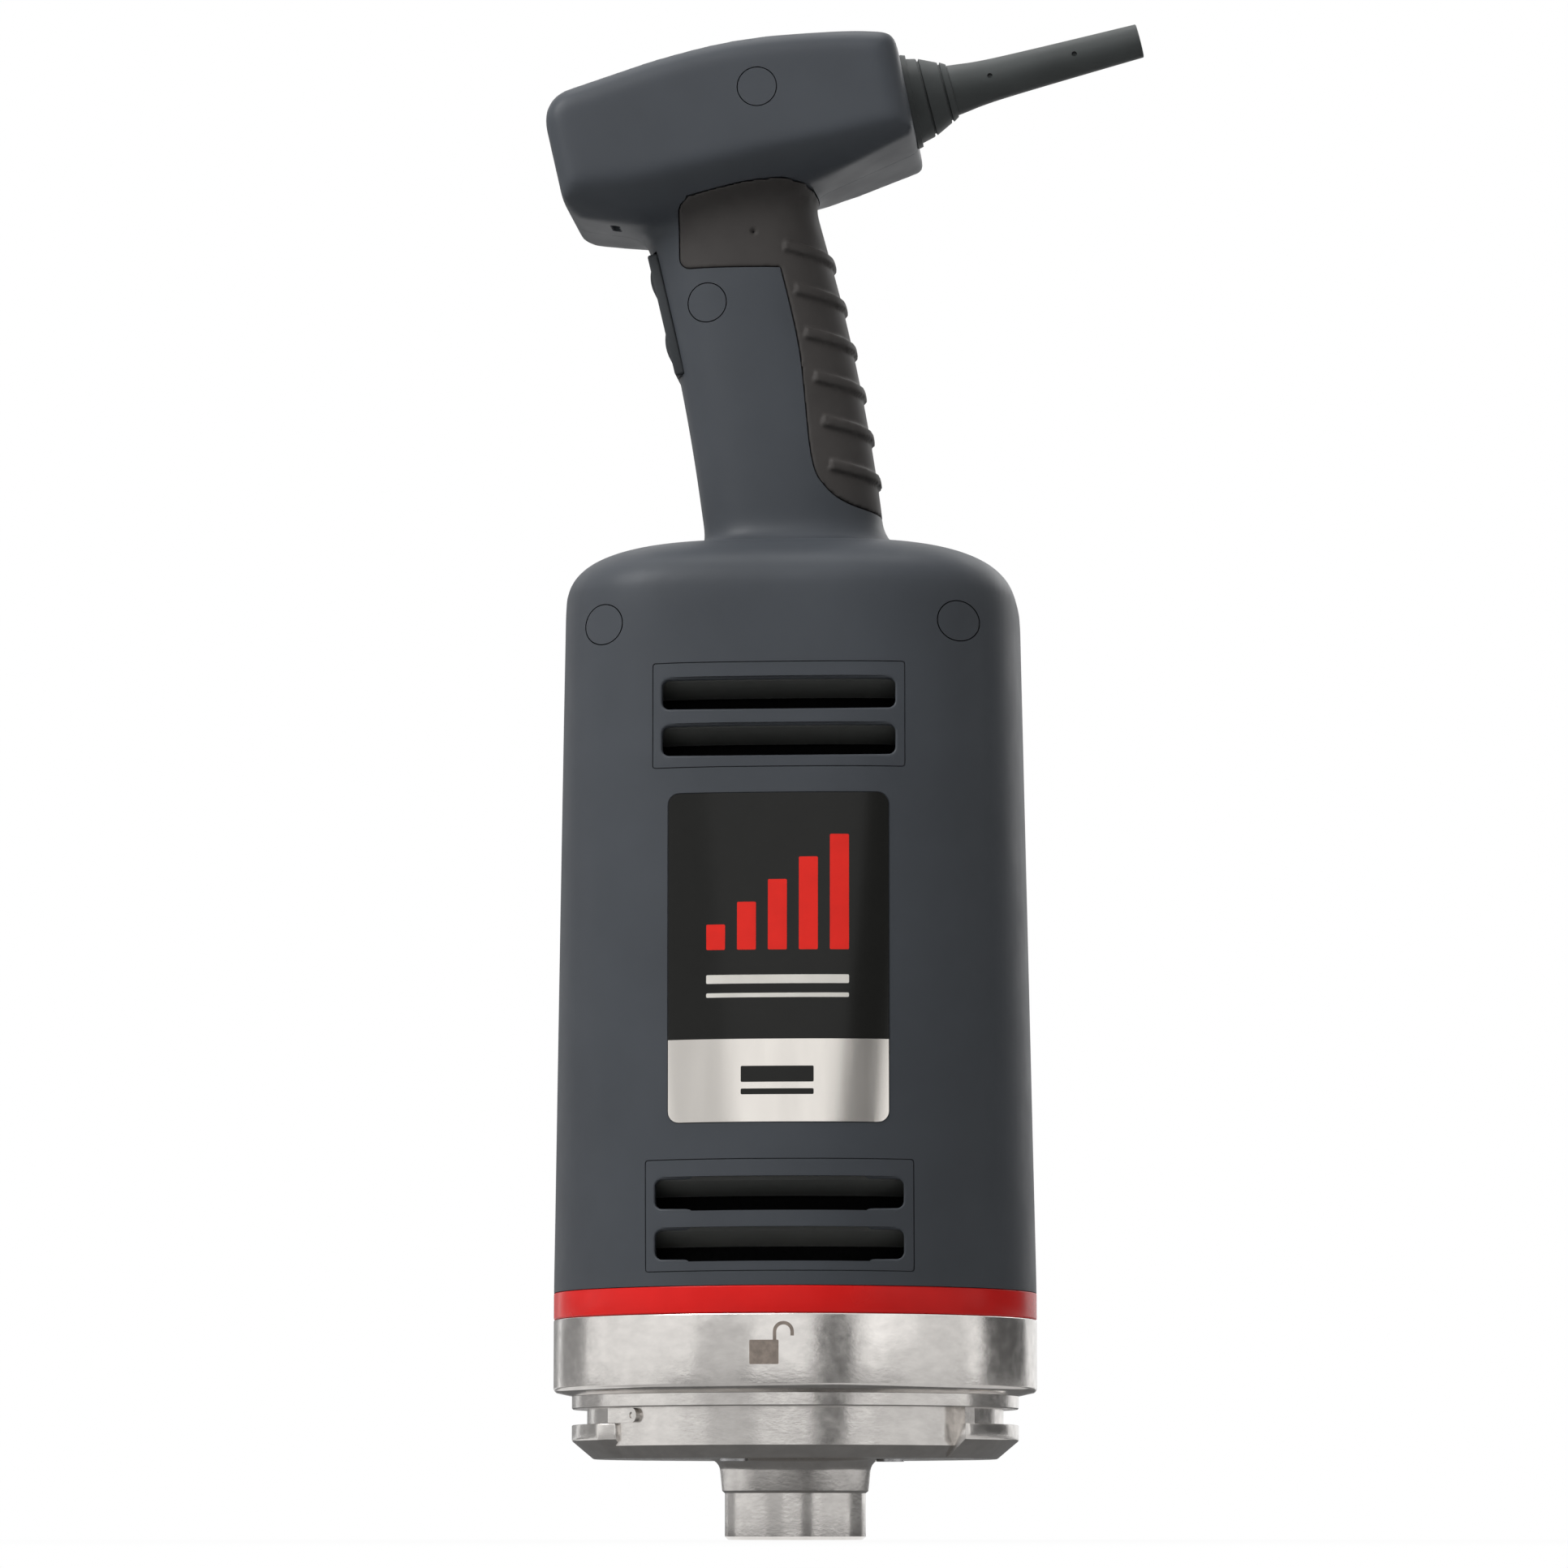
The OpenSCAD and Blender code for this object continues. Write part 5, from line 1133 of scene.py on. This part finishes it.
class ModelCastings(bpy.types.Operator):
    """Models the metal skirt, the bayonet flange and the padlock sign"""
    bl_idname = "unit.model_castings"
    bl_label = "Castings"

    def skirt(self, metal):
        """The ring under the red band, with the spigot inside the housing."""
        outer, low, top = SKIRT_TOP.x / MM, SKIRT_LOW.z / MM, BAND_LOW.z / MM
        spigot, spigot_top, lug_r = outer - 3.3, SKIRT_TOP.z / MM, outer - sizes("casting").lug_setback / MM
        inner = spigot - 3.8
        profile = [(50, low + 0.02)] + arc(lug_r - 0.2, low + 0.3, 0.3, -90, -50, 2)
        profile += arc(outer - 1.7, low + 2.5, 1.7, -60, 0, 8) + arc(outer - 0.4, top - 0.4, 0.4, 0, 90, 3)
        profile += [(spigot, top), (spigot, top + 8.3), (spigot - 2, top + 8.3), (spigot - 2, top + 10.9),
                    (spigot, top + 10.9), (spigot, spigot_top), (inner, spigot_top), (inner, low + 6),
                    (50, low + 6)]
        piece = soften(lathe("metal_skirt", profile, 256), 30)
        publish(piece, "housing", "cast_metal", metal, "base_ring")

    def lug(self, middle, flange_z, lug_top, lug_r, neck_r):
        """One bayonet lug with its stop block and its bump."""
        half, steps = sizes("casting").lug_angle / 2, 40
        root_r = 47
        section = [(root_r, flange_z), (lug_r - 6.1, flange_z), (lug_r, flange_z + 5.1), (lug_r, lug_top),
                   (root_r, lug_top)]
        rings = []
        for i in range(steps + 1):
            t = -half + 2 * half * i / steps
            setback = 3.4 * max(0, 1 - (half - t) / math.radians(3.6))
            radii = [r if r == root_r else r - setback for r, z in section]
            rings.append([polar(r, middle + t, z) for r, (_, z) in zip(radii, section)])
        lug = bevel(loft("lug", rings), 0.3, 2, 30)
        stop = block("stop", (neck_r - 3, -2.1, lug_top - 1), (lug_r - 0.4, 2.1, lug_top + 5.4))
        move(stop, Matrix.Rotation(middle - half + math.radians(2), 4, "Z"))
        boss = block("boss", (0, -8, -2), (4.2, 3, 2))
        turned = Matrix.Translation((0, 3 * MM, 0)) @ Matrix.Rotation(math.radians(90), 4, "Y")
        join(boss, move(rod("boss_end", 2, 0, 4.2), turned))
        dimple = move(rod("dimple", 0.9, 3.9, 6), Matrix.Translation((0, -0.2 * MM, 0)) @ turned)
        carve(boss, dimple)
        place = Matrix.Rotation(middle + half + math.radians(5), 4, "Z")
        move(boss, place @ Matrix.Translation(((neck_r - 3) * MM, 0, (lug_top + 2.2) * MM)))
        return join(lug, stop, boss)

    def flange(self, metal):
        """The flange with its groove, nose, two lugs and three screw holes."""
        casting = sizes("casting")
        flange_z = casting.flange_z / MM
        lug_top = flange_z + casting.lug_h / MM
        ledge = lug_top + casting.groove_h / MM
        skirt = SKIRT_LOW.z / MM
        lug_r = (SKIRT_TOP.x - casting.lug_setback) / MM
        neck_r = lug_r - casting.groove_depth / MM
        nose, root, fillet = casting.nose_r / MM, casting.root_r / MM, casting.fillet_r / MM
        profile = [(14.5, 0), (nose - 0.9, 0), (nose, 0.9), (nose, 13), (nose + 0.8, 13.7)]
        profile += arc(root + fillet, flange_z - fillet, fillet, 180, 90, 6)
        profile += [(neck_r - 3.2, flange_z), (neck_r - 2.9, flange_z + 0.1), (neck_r, flange_z + 3.4),
                    (neck_r, flange_z + 3.7), (neck_r, ledge), (lug_r - 0.3, ledge), (lug_r, ledge + 0.3),
                    (lug_r, skirt), (46, skirt), (46, flange_z + 6), (15, flange_z + 6), (15, flange_z),
                    (10, flange_z), (10, flange_z - 2.5), (14.5, flange_z - 2.5)]
        piece = lathe("bayonet_flange", profile, 192)
        for middle in (0, math.pi):
            join(piece, self.lug(middle, flange_z, lug_top, lug_r, neck_r))
        for i in range(3):
            turn = Matrix.Rotation(math.radians(-5 + 120 * i), 4, "Z")
            place = turn @ Matrix.Translation(((root + 5.8) * MM, 0, 0))
            hole = rod("counterbore", 4.3, flange_z - 5, flange_z + 2.5)
            carve(piece, move(join(hole, rod("screw_hole", 2.7, flange_z - 4, flange_z + 8)), place))
        soften(piece, 25)
        publish(piece, "housing", "cast_metal", metal, "coupling_flange")

    def padlock(self):
        """The open padlock etched on the skirt's front."""
        outer = SKIRT_TOP.x / MM
        body = rounded(4 * MM, 3.3 * MM, 0.3 * MM, 2)
        shapes = [[(x - 3.5 * MM, z + 50.8 * MM) for x, z in body]]
        bow = arc(1.8, 56.3, 2.87, 0, 180, 12) + arc(1.8, 56.3, 1.92, 180, 0, 12)
        bow = [(4.67, 55.2)] + bow[:13] + [(-1.07, 54), (-0.12, 54)] + bow[13:] + [(3.72, 55.2)]
        shapes.append([(x * MM, z * MM) for x, z in bow])
        marks = []
        sunk, raised = outer - 0.15, outer + 0.04
        for shape in shapes:
            mark = lathe("mark", [(sunk, 45), (raised, 45), (raised, 61), (sunk, 61)])
            marks.append(cross(mark, side_prism("mark_shape", shape)))
        stain = (Shader("etched_grey", (0.25, 0.21, 0.18), 0.5, 0.6).mottle(500, 0.8, 1.2)
                 .grain(900, 0.2, 0.03).material)
        publish(soften(gather("padlock_sign", marks)), "housing", "cast_metal", stain)

    def execute(self, context):
        metal = polished_casting("polished_casting", sizes("finishes").casting)
        self.skirt(metal)
        self.flange(metal)
        self.padlock()
        return {"FINISHED"}


class ModelGuard(bpy.types.Operator):
    """Models the rubber guard of the cord"""
    bl_idname = "unit.model_guard"
    bl_label = "Cord guard"

    def execute(self, context):
        guard = sizes("guard")
        flange_r, tip_r, reach = guard.flange_r / MM, guard.tip_r / MM, guard.reach / MM
        piece = lathe("cord_guard", [(0, -7), (10.2, -7), (10.2, 0.3), (flange_r - 0.5, 0.3), (flange_r, 0.8),
                                     (flange_r - 0.4, 2.2), (0, 2.6)], 96)
        move(piece, at_guard(guard.tilt))
        line = [(0, 1), (flange_r - 1.2, 1)]
        for r, z in ((11.6, 5.6), (9.1, 11.2)):
            line += [(r, z - 0.3), (r - 0.2, z), (r - 0.9, z + 0.1), (r - 0.9, z + 0.4), (r - 0.3, z + 0.7)]
        line += [(8.0, 13.2), (7.8, 13.5), (7.3, 13.6)]
        line += curve([(7.3, 13.9), (7.0, 16.5), (6.45, 21), (6.0, 28), (5.5, 44), (tip_r, reach)], 5)
        line += [(tip_r - 0.3, reach + 0.2), (0, reach + 0.2)]
        tube = move(lathe("guard_tube", line, 96), at_guard(guard.rise))
        join(piece, tube)
        carve(piece, move(rod("guard_bore", guard.bore_r / MM, -14, reach + 6), at_guard(guard.rise)))
        for along, side in ((25, -1), (32, 1), (50, -1), (57, 1)):
            radius = 6.6 - (along - 20) * 0.036
            pin = rod("dimple", 0.75, -1.1, 1.5, 20)
            spot = at_guard(guard.rise) @ Matrix.Translation((0, side * radius * MM, along * MM))
            carve(piece, move(pin, spot @ Matrix.Rotation(math.radians(90), 4, "X")))
        soften(piece)
        rubber = soft_rubber("guard_rubber", sizes("finishes").guard, 0.5)
        publish(piece, "housing", "guard_rubber", rubber, "strain_relief")
        return {"FINISHED"}


class FinishInside(bpy.types.Operator):
    """Gives the pieces inside their finishes"""
    bl_idname = "unit.finish_inside"
    bl_label = "Inner finishes"

    def execute(self, context):
        looks, slots = inner_finishes(), node_slots()
        for name, node in frame["nodes"].items():
            material = looks[slots[name]]
            if not node.material_slots:
                node.data.materials.append(material)
            for place in node.material_slots:
                place.material = material
        return {"FINISHED"}


class SetStage(bpy.types.Operator):
    """Sets the camera, the lamps, the floor and the world"""
    bl_idname = "unit.set_stage"
    bl_label = "Stage"

    def camera(self, stage):
        """The camera, which looks at the middle of the unit."""
        away = Vector((math.sin(stage.azimuth) * math.cos(stage.elevation),
                       -math.cos(stage.azimuth) * math.cos(stage.elevation), math.sin(stage.elevation)))
        data = bpy.data.cameras.new("camera")
        data.lens, data.sensor_width = stage.lens, 36
        data.clip_start, data.clip_end = 0.05, 50
        camera = show("camera", data)
        camera.location = Vector((-3.2 * MM, 0, 213.9 * MM)) + away * stage.distance
        camera.rotation_euler = (-away).to_track_quat("-Z", "Y").to_euler()
        bpy.context.scene.camera = camera

    def lamp(self, name, place, target, size, power):
        """A soft lamp that points at the target."""
        data = bpy.data.lights.new(name, "AREA")
        data.shape, data.size, data.size_y = "RECTANGLE", size[0], size[1]
        data.energy = power
        lamp = show(name, data)
        lamp.location = place
        lamp.rotation_euler = (Vector(target) - Vector(place)).to_track_quat("-Z", "Y").to_euler()

    def world(self):
        """A world that is brighter above than below and looks white."""
        world = bpy.data.worlds.new("studio")
        bpy.context.scene.world = world
        tree = Nodes(world)
        back = tree.nodes["Background"]
        back.inputs["Color"].default_value = (1, 1, 1, 1)
        axes, level = tree.node("SeparateXYZ"), tree.node("Mix")
        tree.links.new(tree.place("Generated"), axes.inputs[0])
        tree.links.new(tree.seen(), level.inputs[0])
        tree.links.new(tree.ramp(axes.outputs["Z"], -0.3, 0.9, 0.03, 0.46), level.inputs[2])
        level.inputs[3].default_value = 1.0
        tree.links.new(level.outputs[0], back.inputs["Strength"])

    def floor(self):
        """A pale floor that looks white away from the unit."""
        floor = fresh("floor", bpy.ops.mesh.primitive_circle_add, vertices=96, radius=6,
                      fill_type="NGON", location=(0, 0, -0.4 * MM))
        tree = Shader("pale_floor", (0.42, 0.42, 0.42), 0.9, Specular_IOR_Level=0.1)
        reach = tree.node("VectorMath", operation="LENGTH")
        tree.links.new(tree.spot, reach.inputs[0])
        share = tree.node("Math", operation="MULTIPLY")
        tree.links.new(tree.seen(), share.inputs[0])
        tree.links.new(tree.ramp(reach.outputs["Value"], 0.12, 0.5, 0.96, 1.0), share.inputs[1])
        mix = tree.node("MixShader")
        for i, source in enumerate((share, tree.shader, tree.node("Emission"))):
            tree.links.new(source.outputs[0], mix.inputs[i])
        tree.links.new(mix.outputs[0], tree.nodes["Material Output"].inputs["Surface"])
        floor.data.materials.append(tree.material)

    def card(self, name, angle, distance, width, shade, tall=1.6, height=0.25):
        """A grey card that only reflections show."""
        place = Vector((math.sin(angle) * distance, -math.cos(angle) * distance, height))
        card = fresh(name, bpy.ops.mesh.primitive_plane_add, size=1, location=place)
        card.scale = (width, tall, 1)
        card.rotation_euler = (Vector((0, 0, height)) - place).to_track_quat("Z", "Y").to_euler()
        tree = Nodes(bpy.data.materials.new(name))
        glow = tree.node("Emission", Color=(shade, shade, shade, 1))
        tree.links.new(glow.outputs[0], tree.nodes["Material Output"].inputs["Surface"])
        card.data.materials.append(tree.owner)
        card.visible_camera = card.visible_diffuse = card.visible_shadow = False
        card.visible_transmission = False
        return card

    def execute(self, context):
        stage = sizes("stage")
        scene = bpy.context.scene
        scene.view_settings.view_transform = "Standard"
        self.camera(stage)
        self.world()
        self.floor()
        target = (0, 0, 0.22)
        k = stage.light
        self.lamp("key", (-0.95, -0.75, 1.15), target, (0.7, 0.7), 16 * k)
        self.lamp("front", (-0.5, -1.9, 1.7), target, (0.9, 0.9), 10 * k)
        self.lamp("fill", (1.5, -1.2, 0.9), target, (0.9, 1.2), 1 * k)
        self.lamp("top", (-0.1, 0.1, 1.9), target, (1.2, 1.2), 12 * k)
        self.lamp("rear", (0.9, 1.6, 1.2), target, (1.2, 1.0), 5 * k)
        standing = ((-128, 1.3, 0.3), (-76, 2.0, 0.95), (-30, 1.2, 0.62), (23, 0.75, 0.16),
                    (70, 2.0, 0.78), (125, 1.8, 0.1), (200, 0.9, 0.3))
        for i, (turn, width, shade) in enumerate(standing):
            self.card(f"card_{i}", math.radians(turn), 2.4, width, shade)
        lying = ((0, 0.6, 5.0, 2.6, 0.14), (-76, 1.19, 0.6, 2.2, 0.8), (-30, 1.19, 0.3, 2.2, 0.5),
                 (70, 1.19, 0.6, 2.2, 0.65))
        for i, (turn, reach, width, deep, shade) in enumerate(lying):
            height = (1 + 0.1 * i) * MM
            card = self.card(f"low_card_{i}", math.radians(turn), reach, width, shade, deep, height)
            card.rotation_euler = (0, 0, math.radians(turn))
        return {"FINISHED"}


PIECES = (ModelHousing, ModelCaps, ModelLouvres, ModelPad, ModelButtons, ModelLabel, ModelBand,
          ModelCastings, ModelGuard, FinishInside, SetStage)


class UnitPanel(bpy.types.Panel):
    """Lists the steps that model the motor unit"""
    bl_idname = "VIEW3D_PT_motor_unit"
    bl_label = "Motor unit"
    bl_space_type = "VIEW_3D"
    bl_region_type = "UI"
    bl_category = "Motor unit"

    def draw(self, context):
        for group in GROUPS:
            box = self.layout.box()
            settings = getattr(context.scene, group)
            for key in settings.__annotations__:
                box.prop(settings, key)
        for piece in PIECES:
            self.layout.operator(piece.bl_idname)


def register():
    """Makes the sizes, the operators and the panel known to Blender."""
    for group in (*GROUPS.values(), *PIECES, UnitPanel):
        bpy.utils.register_class(group)
    for name, group in GROUPS.items():
        setattr(bpy.types.Scene, name, PointerProperty(type=group))


def unregister():
    """Takes back what register does."""
    for name in GROUPS:
        delattr(bpy.types.Scene, name)
    for group in reversed((*GROUPS.values(), *PIECES, UnitPanel)):
        bpy.utils.unregister_class(group)


def main():
    """Models every piece in order."""
    register()
    for piece in PIECES:
        area, name = piece.bl_idname.split(".")
        getattr(getattr(bpy.ops, area), name)()


if __name__ == "__main__":
    main()
